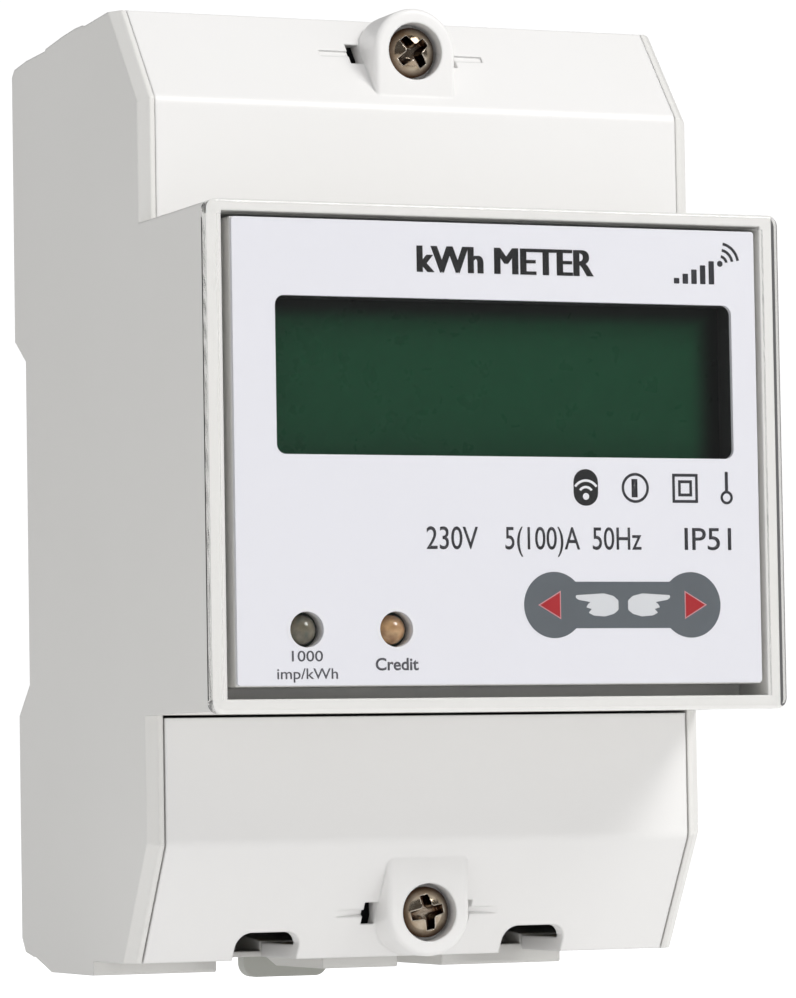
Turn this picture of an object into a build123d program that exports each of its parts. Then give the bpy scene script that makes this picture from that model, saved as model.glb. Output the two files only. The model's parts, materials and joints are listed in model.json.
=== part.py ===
"""Single-phase smart electricity meter for a DIN rail, four modules wide.

Frame: origin at the centre of the seat that rests on the rail, +Z up, +Y towards the rail, so the front
faces -Y. All sizes are in millimetres.
"""
import os

from build123d import *

os.makedirs("parts", exist_ok=True)

# ---------------------------------------------------------------------------
# Driving dimensions
# ---------------------------------------------------------------------------
# The case's own widths are half widths, because it is symmetric about X = 0.
cover_half_width = 38.0
case_half_width = 37.6
wall = 1.9
inner_half_width = case_half_width - wall
wall_chamfer = 1.25
part_gap = 0.25

# Depths, from the front to the rail.
front_y = -70.0
rim_y = -68.0
plate_y = -68.2
tray_y = -67.6
tray_inner_y = -65.8
tray_foot_y = -58.4
groove_floor_y = -60.0
shelf_y = -46.0
seat_y = 0.0
seat_relief_y = -0.4
pad_y = 4.0

# Heights of the central block and of the rail recess.
block_z = 30.4
clear_cover_z = 30.7
recess_top_z = 17.0
recess_bottom_z = -25.5
seat_half_height = 14.0

# Terminal covers: where the face bends, and where the slope meets the end face.
top_bend_z = 46.0
top_corner = (-36.0, 58.3)
bottom_bend_z = -46.4
bottom_corner = (-37.0, -61.0)
cover_back_y = -25.0
cover_wall = 1.8

# Cover screws and their bosses.
top_screw_z = 53.4
bottom_screw_z = -55.4
boss_face_y = -44.7
boss_radius = 5.5
screw_seat_y = -41.8
boss_back_y = -38.0
screw_hole_radius = 3.65
shank_radius = 1.7

# Main terminals.
line_x = -19.4
neutral_x = 17.0
terminal_places = (line_x, neutral_x)
cable_y = -29.0
cable_radius = 4.2
terminal_mouth_z = 50.5
terminal_inner_z = 33.5
cable_depth = 15.0
set_screw_z = 43.0
set_screw_radius = 2.45
busbar_y = (-12.0, -10.0)

# DIN-rail latch: a flat slider with wings that keep it in its channel.
latch_x = -1.5
latch_half_width = 9.0
latch_wing_half_width = 11.0
latch_y = (0.9, 3.6)
latch_wing_y = (0.9, 2.0)

# Printed circuit boards.
board_thickness = 1.6
main_board_y = -22.0
communication_board_y = -47.0
display_board_y = -57.0

# Display, lamps and touch circles.
window_x = (-29.0, 31.8)
window_z = (0.3, 19.4)
lamp_z = -20.7
pulse_lamp_x = -25.5
credit_lamp_x = -13.9
lamp_hole_radius = 2.15
touch_z = -17.9
touch_left_x = 7.0
touch_right_x = 25.5


# ---------------------------------------------------------------------------
# Helpers: each adds to, or cuts from, the piece being built
# ---------------------------------------------------------------------------
def brick(x, y, z, mode=Mode.ADD):
    """A box between two limits along each axis."""
    centre = ((x[0] + x[1]) / 2, (y[0] + y[1]) / 2, (z[0] + z[1]) / 2)
    with Locations(centre):
        Box(abs(x[1] - x[0]), abs(y[1] - y[0]), abs(z[1] - z[0]), mode=mode)


def rod_x(x, y, z, radius, mode=Mode.ADD):
    """A round bar along X between x[0] and x[1]."""
    with Locations(((x[0] + x[1]) / 2, y, z)):
        Cylinder(radius, abs(x[1] - x[0]), rotation=(0, 90, 0), mode=mode)


def rod_y(x, y, z, radius, mode=Mode.ADD):
    """A round bar along Y between y[0] and y[1]."""
    with Locations((x, (y[0] + y[1]) / 2, z)):
        Cylinder(radius, abs(y[1] - y[0]), rotation=(90, 0, 0), mode=mode)


def rod_z(x, y, z, radius, mode=Mode.ADD):
    """A round bar along Z between z[0] and z[1]."""
    with Locations((x, y, (z[0] + z[1]) / 2)):
        Cylinder(radius, abs(z[1] - z[0]), mode=mode)


def side_prism(outline, x, mode=Mode.ADD):
    """An outline of (Y, Z) points, given thickness from x[0] to x[1]."""
    with BuildSketch(Plane.YZ.offset(x[0])) as section:
        Polygon(*outline)
    extrude(to_extrude=section.sketch, amount=x[1] - x[0], mode=mode)


def save(piece, name):
    """Label a finished piece and write it."""
    piece.label = name
    export_step(piece, f"parts/{name}.step")


# ---------------------------------------------------------------------------
# Side outlines (Y, Z) of the case
# ---------------------------------------------------------------------------
top_end_profile = [
    (-24.6, 58.0), (-21.6, 58.0), (-16.7, 57.7), (-10.0, 57.05), (-9.7, 56.8), (-2.0, 56.6), (3.0, 56.1),
    (pad_y, 55.2),
]
bottom_end_profile = [(-24.4, -61.0), (-0.7, -61.0), (2.6, -60.4), (pad_y, -58.6)]
top_wall_outline = [
    (shelf_y, block_z), (shelf_y, top_bend_z), top_corner, (-24.9, 57.75), *top_end_profile,
    (pad_y, block_z),
]
bottom_wall_outline = [
    (shelf_y, -block_z), (shelf_y, bottom_bend_z), bottom_corner, *bottom_end_profile, (pad_y, -block_z),
]
middle_wall_outline = [
    (rim_y, block_z), (pad_y, block_z), (pad_y, recess_top_z + 3.0), (seat_relief_y, recess_top_z),
    (seat_relief_y, recess_bottom_z), (pad_y, recess_bottom_z - 4.0), (pad_y, -block_z), (rim_y, -block_z),
]


def shelf_edges(wall_part):
    """The outer edges of a side wall that run along its shelf and slope, where the chamfer goes."""
    outer_face = wall_part.faces().sort_by(Axis.X)[-1]
    return [
        edge for edge in outer_face.edges()
        if edge.center().Y < bottom_corner[0] + 1.0 and abs(edge.center().Z) > block_z + 0.1
    ]


# ---------------------------------------------------------------------------
# Main housing
# ---------------------------------------------------------------------------
wall_x = (inner_half_width, case_half_width)

with BuildPart() as top_side_wall:
    side_prism(top_wall_outline, wall_x)
    chamfer(shelf_edges(top_side_wall), wall_chamfer)

with BuildPart() as bottom_side_wall:
    side_prism(bottom_wall_outline, wall_x)
    chamfer(shelf_edges(bottom_side_wall), wall_chamfer)

inner_x = (-inner_half_width, inner_half_width)
tray_x = (-34.5, 35.15)
tray_z = (-27.5, 28.75)
tray_wall = 1.45
groove_right_x = 36.0
groove_z = (-29.0, 29.4)
window_frame = 1.2
partition_z = 28.6
partition_back_y = -19.0
foot_z = -62.8
arch_half_width = 4.3

with BuildPart() as main_housing:
    # Side walls, mirrored to the other side.
    side_prism(middle_wall_outline, wall_x)
    add(top_side_wall.part)
    add(bottom_side_wall.part)
    mirror(about=Plane.YZ)
    # End walls behind the terminal covers.
    side_prism([*top_end_profile, (pad_y, 53.6), (-24.6, 56.0)], inner_x)
    side_prism([*bottom_end_profile, (pad_y, -56.4), (-24.4, -59.0)], inner_x)
    # Walls above and below the electronics, thinner in front of the groove's floor.
    for side in (1, -1):
        brick(inner_x, (groove_floor_y, partition_back_y), (side * partition_z, side * block_z))
    brick(inner_x, (rim_y, groove_floor_y), (groove_z[1], block_z))
    brick(inner_x, (rim_y, groove_floor_y), (-block_z, groove_z[0]))
    # Tray that carries the nameplate, joined to the walls at the groove's floor.
    brick(inner_x, (groove_floor_y, tray_foot_y), (-partition_z, partition_z))
    brick(tray_x, (tray_y, tray_foot_y), tray_z)
    brick(
        (tray_x[0] + tray_wall, tray_x[1] - tray_wall), (tray_inner_y, tray_foot_y),
        (tray_z[0] + tray_wall, tray_z[1] - tray_wall), mode=Mode.SUBTRACT,
    )
    # The groove is let a little into the right wall, because the tray sits right of centre.
    brick((inner_half_width, groove_right_x), (rim_y, groove_floor_y), groove_z, mode=Mode.SUBTRACT)
    # Display window, larger than the nameplate's by the gasket's thickness, and lamp holes.
    brick(
        (window_x[0] - window_frame, window_x[1] + window_frame), (tray_y, tray_inner_y),
        (window_z[0] - window_frame, window_z[1] + window_frame), mode=Mode.SUBTRACT,
    )
    for lamp_x in (pulse_lamp_x, credit_lamp_x):
        rod_y(lamp_x, (tray_y, tray_inner_y), lamp_z, lamp_hole_radius, mode=Mode.SUBTRACT)
    # Pillars for the display board.
    for pillar_x in (-30.0, 30.0):
        for pillar_z in (-23.9, 23.9):
            rod_y(pillar_x, (tray_inner_y, display_board_y), pillar_z, 2.0)
            rod_y(pillar_x, (-62.5, display_board_y), pillar_z, 0.9, mode=Mode.SUBTRACT)
    # Notch in the bottom end wall where the latch slides through.
    notch_half = latch_half_width + 0.4
    brick(
        (latch_x - notch_half, latch_x + notch_half), (latch_y[0] - 0.5, pad_y + 1.0), (-61.5, -56.0),
        mode=Mode.SUBTRACT,
    )
    # Reliefs in the bottom end wall behind the cover's arches.
    for arch_x in terminal_places:
        brick(
            (arch_x - arch_half_width, arch_x + arch_half_width), (-25.0, -16.0), (-60.3, -55.0),
            mode=Mode.SUBTRACT,
        )
    # Foot slab under the bottom end wall, cut away between the wire exits.
    for foot_x in ((-case_half_width, -21.1), (-6.5, 3.9), (10.2, 27.0)):
        side_prism(
            [(-24.4, -61.0), (-24.4, foot_z + 0.3), (-24.1, foot_z), (-8.0, foot_z), (-1.5, -61.0)], foot_x,
        )
save(main_housing.part, "main_housing")

# ---------------------------------------------------------------------------
# Rear cover: seat for the rail, fixed hook above it, channel for the latch below it
# ---------------------------------------------------------------------------
rear_half_width = inner_half_width - 0.15
rear_x = (-rear_half_width, rear_half_width)
rear_wall = 2.0
channel_clearance = 0.3
latch_top_z = -17.6
spring_window_z = (-56.0, -34.0)
spring_post_z = (-50.5, -47.0)

with BuildPart() as rear_cover:
    side_prism(
        [
            (pad_y, 53.4), (pad_y, recess_top_z + 3.0), (seat_relief_y, recess_top_z),
            (seat_relief_y, recess_bottom_z), (pad_y, recess_bottom_z - 4.0), (pad_y, -56.2),
            (pad_y - rear_wall, -56.2), (pad_y - rear_wall, -32.0), (seat_relief_y - rear_wall, -27.0),
            (seat_relief_y - rear_wall, 18.0), (pad_y - rear_wall, 22.0), (pad_y - rear_wall, 53.4),
        ],
        rear_x,
    )
    # Raised seat pads that rest on the rail.
    for pad_x in ((-rear_half_width, -14.0), (-14.0, 14.0), (14.0, rear_half_width)):
        brick(pad_x, (seat_relief_y, seat_y), (-seat_half_height, seat_half_height))
    # Fixed hooks that reach behind the rail's upper lip.
    for hook_x in ((-24.0, -12.0), (12.0, 24.0)):
        side_prism([(1.3, 16.0), (1.3, 21.0), (pad_y, 21.0), (pad_y, 17.6), (3.0, 16.0)], hook_x)
    # Channel for the latch: a backed slot with lips over the latch's wings.
    channel_half = latch_wing_half_width + channel_clearance
    brick((latch_x - 14.0, latch_x + 14.0), (-1.4, pad_y), (-56.2, recess_bottom_z - 3.0))
    brick(
        (latch_x - channel_half, latch_x + channel_half),
        (latch_wing_y[0] - channel_clearance, latch_wing_y[1] + channel_clearance),
        (-58.0, recess_bottom_z + 1.0), mode=Mode.SUBTRACT,
    )
    mouth_half = latch_half_width + channel_clearance
    brick(
        (latch_x - mouth_half, latch_x + mouth_half), (latch_y[0], pad_y + 1.0),
        (-58.0, recess_bottom_z + 1.0), mode=Mode.SUBTRACT,
    )
    # Post that the spring stands on.
    brick((latch_x - 2.2, latch_x + 2.2), (0.0, 3.6), spring_post_z)
    # Pillars for the main board, and tubes for the case screws.
    for pillar_x in (-31.0, 31.0):
        for pillar_z in (-24.0, 24.0):
            pillar_foot_y = 2.5 if pillar_z > 0 else -1.5
            rod_y(pillar_x, (main_board_y + board_thickness, pillar_foot_y), pillar_z, 2.5)
            rod_y(pillar_x, (main_board_y + board_thickness, -12.0), pillar_z, 1.1, mode=Mode.SUBTRACT)
        for screw_z in (-49.0, 46.0):
            rod_y(pillar_x, (-1.0, pad_y), screw_z, 1.7, mode=Mode.SUBTRACT)
            rod_y(pillar_x, (pad_y - 1.2, pad_y), screw_z, 3.1, mode=Mode.SUBTRACT)
save(rear_cover.part, "rear_cover")

# ---------------------------------------------------------------------------
# DIN latch and its spring
# ---------------------------------------------------------------------------
tab_half_width = 6.0
tab_z = -62.6

with BuildPart() as din_latch:
    slider_x = (latch_x - latch_half_width, latch_x + latch_half_width)
    brick(slider_x, latch_y, (-57.0, latch_top_z - 0.4))
    brick((latch_x - latch_wing_half_width, latch_x + latch_wing_half_width), latch_wing_y, (-50.0, -30.0))
    # Nose that catches the rail's lower lip, with a ramp so that the meter snaps on.
    side_prism([(1.3, -18.2), (1.3, -16.2), (2.2, -16.2), (3.6, -18.2)], slider_x)
    brick((latch_x - 2.4, latch_x + 2.4), latch_y, spring_window_z, mode=Mode.SUBTRACT)
    # Pull tab, with rounded corners and a grip groove.
    with BuildSketch(Plane.XZ.offset(-latch_y[1])) as tab_outline:
        with Locations((latch_x, (tab_z - 57.0) / 2)):
            RectangleRounded(2 * tab_half_width, -57.0 - tab_z + 4.0, 1.8)
    extrude(amount=latch_y[1] - 1.4)
    rod_x((latch_x - 4.0, latch_x + 4.0), 3.6, -60.6, 0.7, mode=Mode.SUBTRACT)
save(din_latch.part, "din_latch")

spring_radius = 1.2
wire_radius = 0.22
spring_y = 2.2
spring_length = spring_window_z[1] - spring_post_z[1]
spring_turns = 9

with BuildPart() as latch_spring:
    with BuildLine() as spring_path:
        Helix(
            pitch=(spring_length - 2 * wire_radius - 0.2) / spring_turns,
            height=spring_length - 2 * wire_radius - 0.2,
            radius=spring_radius,
            center=(latch_x, spring_y, spring_post_z[1] + wire_radius + 0.1),
        )
    with BuildSketch(Plane(origin=spring_path.line @ 0, z_dir=spring_path.line % 0)):
        Circle(wire_radius)
    sweep(path=spring_path.line)
save(latch_spring.part, "latch_spring")

# ---------------------------------------------------------------------------
# Clear front cover and nameplate
# ---------------------------------------------------------------------------
pane = 1.5
rim_width = 1.7

with BuildPart() as clear_cover:
    with BuildSketch(Plane.XZ.offset(-front_y)):
        RectangleRounded(2 * cover_half_width, 2 * clear_cover_z, 1.3)
    extrude(amount=front_y - rim_y)
    fillet(clear_cover.faces().sort_by(Axis.Y)[0].edges(), 0.45)
    brick(
        (-cover_half_width + rim_width, cover_half_width - rim_width), (front_y + pane, rim_y),
        (-clear_cover_z + rim_width, clear_cover_z - rim_width), mode=Mode.SUBTRACT,
    )
save(clear_cover.part, "clear_cover")

plate_x = (-34.45, 35.1)
plate_z = (-27.4, 28.7)

with BuildPart() as nameplate:
    with BuildSketch(Plane.XZ.offset(-plate_y)):
        with Locations(((plate_x[0] + plate_x[1]) / 2, (plate_z[0] + plate_z[1]) / 2)):
            RectangleRounded(plate_x[1] - plate_x[0], plate_z[1] - plate_z[0], 0.4)
        with Locations(((window_x[0] + window_x[1]) / 2, (window_z[0] + window_z[1]) / 2)):
            RectangleRounded(window_x[1] - window_x[0], window_z[1] - window_z[0], 1.2, mode=Mode.SUBTRACT)
        with Locations((pulse_lamp_x, lamp_z), (credit_lamp_x, lamp_z)):
            Circle(lamp_hole_radius, mode=Mode.SUBTRACT)
    extrude(amount=plate_y - tray_y)
save(nameplate.part, "nameplate")


# ---------------------------------------------------------------------------
# Terminal covers
# ---------------------------------------------------------------------------
bend_radius = 2.0
cover_gap = {1: 0.08, -1: part_gap}
boss_start = {"top": top_bend_z + 0.6, "bottom": bottom_bend_z - 0.6}
seal_slot_x = (5.55, 7.35)
seal_slot_half_height = 1.35
seal_groove_end_x = 11.2
seal_groove_depth = 0.8
seal_groove_half_width = 0.5


def slope_plane(bend, corner, at_z, x):
    """A plane whose local Y leaves the slope outwards, at height at_z and position x, facing along it."""
    run = Vector(0, corner[0] - bend[0], corner[1] - bend[1])
    share = (at_z - bend[1]) / (corner[1] - bend[1])
    origin = Vector(x, bend[0] + share * run.Y, bend[1] + share * run.Z)
    return Plane(origin=origin, x_dir=(1, 0, 0), z_dir=run.normalized())


def cover_shell(bend, corner, end_z, screw_z, start_z, side):
    """The bent wall of a terminal cover with its boss, screw hole, seal slots and inner ribs."""
    bend_inset = cover_wall * 0.27
    corner_inset = cover_wall * 0.55
    inner_path = [
        (cover_back_y, end_z - side * cover_wall),
        (corner[0] + corner_inset, corner[1] - side * cover_wall),
        (bend[0] + cover_wall, bend[1] - side * bend_inset),
        (bend[0] + cover_wall, side * (block_z + 0.35)),
    ]
    outline = [(bend[0], side * (block_z + 0.35)), bend, corner, (cover_back_y, end_z), *inner_path]
    half_width = inner_half_width - cover_gap[side]
    side_prism(outline, (-half_width, half_width))
    fillet(edges().filter_by(Axis.X).sort_by_distance((0, *bend))[0], bend_radius)
    # Stiffening ribs inside both ends.
    rib = [
        (bend[0] + 0.5, side * (block_z + 0.35)), (bend[0] + 0.5, bend[1]),
        (corner[0] + 0.3, corner[1] - side * 1.0), (cover_back_y, end_z - side * 1.0),
        (cover_back_y, end_z - side * 4.0), (-34.0, corner[1] - side * 4.6),
        (-42.6, bend[1] - side * 1.5), (-42.6, side * (block_z + 0.35)),
    ]
    for rib_side in (1, -1):
        side_prism(rib, (rib_side * 33.3, rib_side * 34.5) if rib_side > 0 else (-34.5, -33.3))
    # Boss around the screw, flat in front and round at its outer end.
    with BuildSketch(Plane.XZ.offset(-boss_face_y)) as boss_outline:
        with Locations((0, screw_z)):
            Circle(boss_radius)
        with Locations((0, (screw_z + start_z) / 2)):
            Rectangle(2 * boss_radius, abs(screw_z - start_z))
    extrude(to_extrude=boss_outline.sketch, amount=boss_face_y - boss_back_y)


def cover_holes(bend, corner, screw_z):
    """The stepped screw hole, and a seal-wire slot with its tapered groove on each side of the boss."""
    rod_y(0, (boss_face_y - 1.0, screw_seat_y), screw_z, screw_hole_radius, mode=Mode.SUBTRACT)
    rod_y(0, (screw_seat_y - 1.0, boss_back_y + 4.0), screw_z, shank_radius + 0.4, mode=Mode.SUBTRACT)
    for side in (1, -1):
        slot = sorted((side * seal_slot_x[0], side * seal_slot_x[1]))
        brick(
            slot, (boss_face_y, boss_back_y + 3.0),
            (screw_z - seal_slot_half_height, screw_z + seal_slot_half_height), mode=Mode.SUBTRACT,
        )
        with BuildSketch(slope_plane(bend, corner, screw_z, 0)) as groove:
            with BuildLine():
                Polyline(
                    (side * seal_groove_end_x, 0.2), (side * seal_groove_end_x, 0.0),
                    (side * seal_slot_x[0], -seal_groove_depth), (side * seal_slot_x[0], 0.2), close=True,
                )
            make_face()
        extrude(to_extrude=groove.sketch, amount=seal_groove_half_width, both=True, mode=Mode.SUBTRACT)


def boss_rim(cover):
    """The edges around the front of a boss."""
    face = cover.faces().filter_by(Axis.Y).filter_by(
        lambda candidate: abs(candidate.center().Y - boss_face_y) < 0.05
    )[0]
    return [edge for edge in face.outer_wire().edges() if abs(edge.center().Z) > top_bend_z + 3.4]


arch_top_z = -57.5

with BuildPart() as bottom_terminal_cover:
    bottom_bend = (shelf_y, bottom_bend_z)
    cover_shell(bottom_bend, bottom_corner, -61.0, bottom_screw_z, boss_start["bottom"], -1)
    fillet(boss_rim(bottom_terminal_cover), 0.7)
    cover_holes(bottom_bend, bottom_corner, bottom_screw_z)
    # Arched wire cut-outs, open towards the back so that the cover clears the wires.
    for arch_x in terminal_places:
        with BuildSketch(Plane.XZ.offset(-front_y + 20)) as arch:
            with Locations((arch_x, arch_top_z - 4.0)):
                RectangleRounded(2 * arch_half_width, 8.0, 1.9)
        extrude(to_extrude=arch.sketch, amount=-(cover_back_y - front_y + 25.0), mode=Mode.SUBTRACT)
        brick(
            (arch_x - arch_half_width, arch_x + arch_half_width), (-37.6, cover_back_y), (-61.5, -58.8),
            mode=Mode.SUBTRACT,
        )
save(bottom_terminal_cover.part, "bottom_terminal_cover")

with BuildPart() as top_terminal_cover:
    top_bend = (shelf_y, top_bend_z)
    cover_shell(top_bend, top_corner, 57.7, top_screw_z, boss_start["top"], 1)
    fillet(boss_rim(top_terminal_cover), 0.7)
    cover_holes(top_bend, top_corner, top_screw_z)
    # Notches in the end face, open towards the back, for wires that leave upwards.
    for notch_x in terminal_places:
        brick(
            (notch_x - arch_half_width, notch_x + arch_half_width),
            (cable_y - arch_half_width, cover_back_y + 1.0), (54.0, 60.0), mode=Mode.SUBTRACT,
        )
save(top_terminal_cover.part, "top_terminal_cover")

# ---------------------------------------------------------------------------
# Cover screws, with a domed head and a cross recess
# ---------------------------------------------------------------------------
head_radius = 3.2
head_edge_y = screw_seat_y - 1.3
head_crown_y = screw_seat_y - 2.7
screw_tip_y = -27.5
recess_arm = 2.4
recess_half_width = 0.75


def cover_screw(turn):
    """A pan-head screw along the Y axis, its cross turned by some degrees."""
    with BuildSketch(Plane.XY) as half_section:
        with BuildLine():
            Line((0, head_crown_y), (0, screw_tip_y))
            Line((0, screw_tip_y), (shank_radius - 0.4, screw_tip_y))
            Line((shank_radius - 0.4, screw_tip_y), (shank_radius, screw_tip_y - 0.5))
            Line((shank_radius, screw_tip_y - 0.5), (shank_radius, screw_seat_y))
            Line((shank_radius, screw_seat_y), (head_radius, screw_seat_y))
            Line((head_radius, screw_seat_y), (head_radius, head_edge_y))
            ThreePointArc(
                (head_radius, head_edge_y), (head_radius * 0.62, head_crown_y + 0.42), (0, head_crown_y),
            )
        make_face()
    revolve(half_section.sketch, axis=Axis.Y)
    # Cross recess, narrowing as it goes in.
    with BuildSketch(Plane.XZ.offset(-head_crown_y + 0.4)) as cross:
        Rectangle(2 * recess_arm, 2 * recess_half_width, rotation=turn)
        Rectangle(2 * recess_half_width, 2 * recess_arm, rotation=turn)
        Rectangle(2.3, 2.3, rotation=45 + turn)
    extrude(to_extrude=cross.sketch, amount=-2.4, taper=11, mode=Mode.SUBTRACT)


cover_screws = {"top_cover_screw": (top_screw_z, 38.0), "bottom_cover_screw": (bottom_screw_z, 12.0)}

for name, (screw_z, turn) in cover_screws.items():
    with BuildPart() as screw_at_origin:
        cover_screw(turn)
    save(screw_at_origin.part.moved(Location((0, 0, screw_z))), name)

insert_y = (-35.0, -26.0)
insert_radius = 2.3

with BuildPart() as cover_screw_inserts:
    for screw_z in (top_screw_z, bottom_screw_z):
        rod_y(0, insert_y, screw_z, insert_radius)
        rod_y(0, insert_y, screw_z, shank_radius + 0.08, mode=Mode.SUBTRACT)
save(cover_screw_inserts.part, "cover_screw_inserts")

# Moulded carriers, each let into a notch in its terminal block, with a U-shaped seat for its insert.
carrier_half_width = 6.0
carrier_inner_z = 46.5
top_carrier_end_z = 55.75
bottom_carrier_end_z = -58.8

with BuildPart() as insert_carriers:
    brick((-carrier_half_width, carrier_half_width), insert_y, (carrier_inner_z, top_carrier_end_z))
    brick((-carrier_half_width, carrier_half_width), insert_y, (bottom_carrier_end_z, -carrier_inner_z))
    for screw_z, end_z in ((top_screw_z, top_carrier_end_z), (bottom_screw_z, bottom_carrier_end_z)):
        rod_y(0, insert_y, screw_z, insert_radius, mode=Mode.SUBTRACT)
        brick((-insert_radius, insert_radius), insert_y, (screw_z, end_z), mode=Mode.SUBTRACT)
save(insert_carriers.part, "insert_carriers")


# ---------------------------------------------------------------------------
# Terminal blocks, brass terminals and their set screws
# ---------------------------------------------------------------------------
block_y = (-41.0, -8.0)
brass_half_width = 6.5
brass_y = (-37.6, -21.9)
pocket_clearance = 0.1
mouth_half_width = 4.9


def terminal_block(side):
    """A moulded block with two brass pockets, cable entries, screw wells and the carrier's notch."""
    outline = [
        (block_y[0], block_z + 0.2), (block_y[0], 47.8), (-35.6, 54.4), (block_y[1], 54.4),
        (block_y[1], block_z + 0.2),
    ]
    side_prism([(y, side * z) for y, z in outline], (-33.0, 33.0))
    brick(
        (-carrier_half_width, carrier_half_width), (-42.0, insert_y[1]),
        (side * carrier_inner_z, side * 55.0), mode=Mode.SUBTRACT,
    )
    for pocket_x in terminal_places:
        reach = brass_half_width + pocket_clearance
        brick(
            (pocket_x - reach, pocket_x + reach),
            (brass_y[0] - pocket_clearance, brass_y[1] + pocket_clearance),
            (side * block_z, side * (terminal_mouth_z + pocket_clearance)), mode=Mode.SUBTRACT,
        )
        # Room for the terminal's tail and the strap behind it.
        brick(
            (pocket_x - reach, pocket_x + reach), (brass_y[1], block_y[1]), (side * block_z, side * 37.5),
            mode=Mode.SUBTRACT,
        )
        # Mouth for the cable, open to the front so that the stripped end can be laid in.
        brick(
            (pocket_x - mouth_half_width, pocket_x + mouth_half_width), (-42.0, cable_y + mouth_half_width),
            (side * 50.0, side * 55.0), mode=Mode.SUBTRACT,
        )
        rod_y(pocket_x, (-42.0, -37.0), side * set_screw_z, 3.4, mode=Mode.SUBTRACT)


with BuildPart() as bottom_terminal_block:
    terminal_block(-1)
save(bottom_terminal_block.part, "bottom_terminal_block")

with BuildPart() as top_terminal_block:
    terminal_block(1)
    # Pocket for the auxiliary terminals.
    brick((-9.1, 9.1), (-42.0, -27.9), (33.0, 45.1), mode=Mode.SUBTRACT)
save(top_terminal_block.part, "top_terminal_block")

terminals = {
    "line_in": (line_x, -1),
    "line_out": (line_x, 1),
    "neutral_in": (neutral_x, -1),
    "neutral_out": (neutral_x, 1),
}
tail_z = (terminal_inner_z, terminal_inner_z + 2.5)

for name, (centre_x, side) in terminals.items():
    with BuildPart() as terminal:
        brick(
            (centre_x - brass_half_width, centre_x + brass_half_width), brass_y,
            (side * terminal_inner_z, side * terminal_mouth_z),
        )
        brick(
            (centre_x - 5.0, centre_x + 5.0), (brass_y[1], busbar_y[0]),
            (side * tail_z[0], side * tail_z[1]),
        )
        rod_z(
            centre_x, cable_y, (side * (terminal_mouth_z - cable_depth), side * terminal_mouth_z),
            cable_radius, mode=Mode.SUBTRACT,
        )
        rod_y(
            centre_x, (brass_y[0], cable_y), side * set_screw_z, set_screw_radius + 0.05,
            mode=Mode.SUBTRACT,
        )
    save(terminal.part, f"{name}_terminal")

    with BuildPart() as set_screw:
        screw_y = (cable_y - cable_radius - 8.2, cable_y - cable_radius - 0.2)
        rod_y(centre_x, screw_y, side * set_screw_z, set_screw_radius)
        chamfer(set_screw.edges().filter_by(GeomType.CIRCLE), 0.35)
        brick(
            (centre_x - 3.0, centre_x + 3.0), (screw_y[0], screw_y[0] + 1.4),
            (side * set_screw_z - 0.45, side * set_screw_z + 0.45), mode=Mode.SUBTRACT,
        )
    save(set_screw.part, f"{name}_set_screw")

auxiliary_x = [-6.3, -2.1, 2.1, 6.3]
auxiliary_y = (-41.0, -28.0)
auxiliary_z = (33.1, 45.0)
auxiliary_screw_z = 40.0

with BuildPart() as auxiliary_terminal_block:
    brick((-9.0, 9.0), auxiliary_y, auxiliary_z)
    for small_x in auxiliary_x:
        rod_y(small_x, (auxiliary_y[0], -31.0), auxiliary_screw_z, 1.75, mode=Mode.SUBTRACT)
        rod_z(small_x, -37.0, (43.0, auxiliary_z[1]), 1.2, mode=Mode.SUBTRACT)
save(auxiliary_terminal_block.part, "auxiliary_terminal_block")

with BuildPart() as auxiliary_terminal_screws:
    for small_x in auxiliary_x:
        rod_y(small_x, (-38.6, -37.0), auxiliary_screw_z, 1.6)
        rod_y(small_x, (-37.0, -31.2), auxiliary_screw_z, 1.2)
        brick(
            (small_x - 2.0, small_x + 2.0), (-38.6, -38.0),
            (auxiliary_screw_z - 0.25, auxiliary_screw_z + 0.25), mode=Mode.SUBTRACT,
        )
save(auxiliary_terminal_screws.part, "auxiliary_terminal_screws")

# ---------------------------------------------------------------------------
# Power path behind the main board: shunt, relay, straps, neutral bar and current transformer
# ---------------------------------------------------------------------------
strap_half_width = 5.0
line_strap_x = (line_x - strap_half_width, line_x + strap_half_width)
neutral_strap_x = (neutral_x - strap_half_width, neutral_x + strap_half_width)
relay_x = (-32.0, -5.0)
relay_y = (-18.4, -2.7)
relay_z = (-14.0, 18.0)
shunt_top_z = -20.0

with BuildPart() as shunt:
    brick(line_strap_x, busbar_y, (-36.0, shunt_top_z))
    # Narrowed measuring section.
    for edge_x in line_strap_x:
        brick((edge_x - 1.2, edge_x + 1.2), busbar_y, (-31.0, -25.0), mode=Mode.SUBTRACT)
save(shunt.part, "shunt")

with BuildPart() as shunt_sense_wires:
    for wire_z in (-32.5, -23.5):
        rod_y(line_x, (main_board_y + board_thickness, busbar_y[0]), wire_z, 0.6)
save(shunt_sense_wires.part, "shunt_sense_wires")

with BuildPart() as relay_line_strap:
    brick(line_strap_x, busbar_y, (shunt_top_z, -6.0))
save(relay_line_strap.part, "relay_line_strap")

with BuildPart() as relay_load_strap:
    brick(line_strap_x, busbar_y, (9.0, 36.0))
save(relay_load_strap.part, "relay_load_strap")

with BuildPart() as latching_relay:
    brick(relay_x, relay_y, relay_z)
    fillet(latching_relay.edges().filter_by(Axis.Y), 1.0)
    brick((line_strap_x[0], line_strap_x[1]), busbar_y, (relay_z[0], -6.0), mode=Mode.SUBTRACT)
    brick((line_strap_x[0], line_strap_x[1]), busbar_y, (9.0, relay_z[1]), mode=Mode.SUBTRACT)
save(latching_relay.part, "latching_relay")

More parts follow.
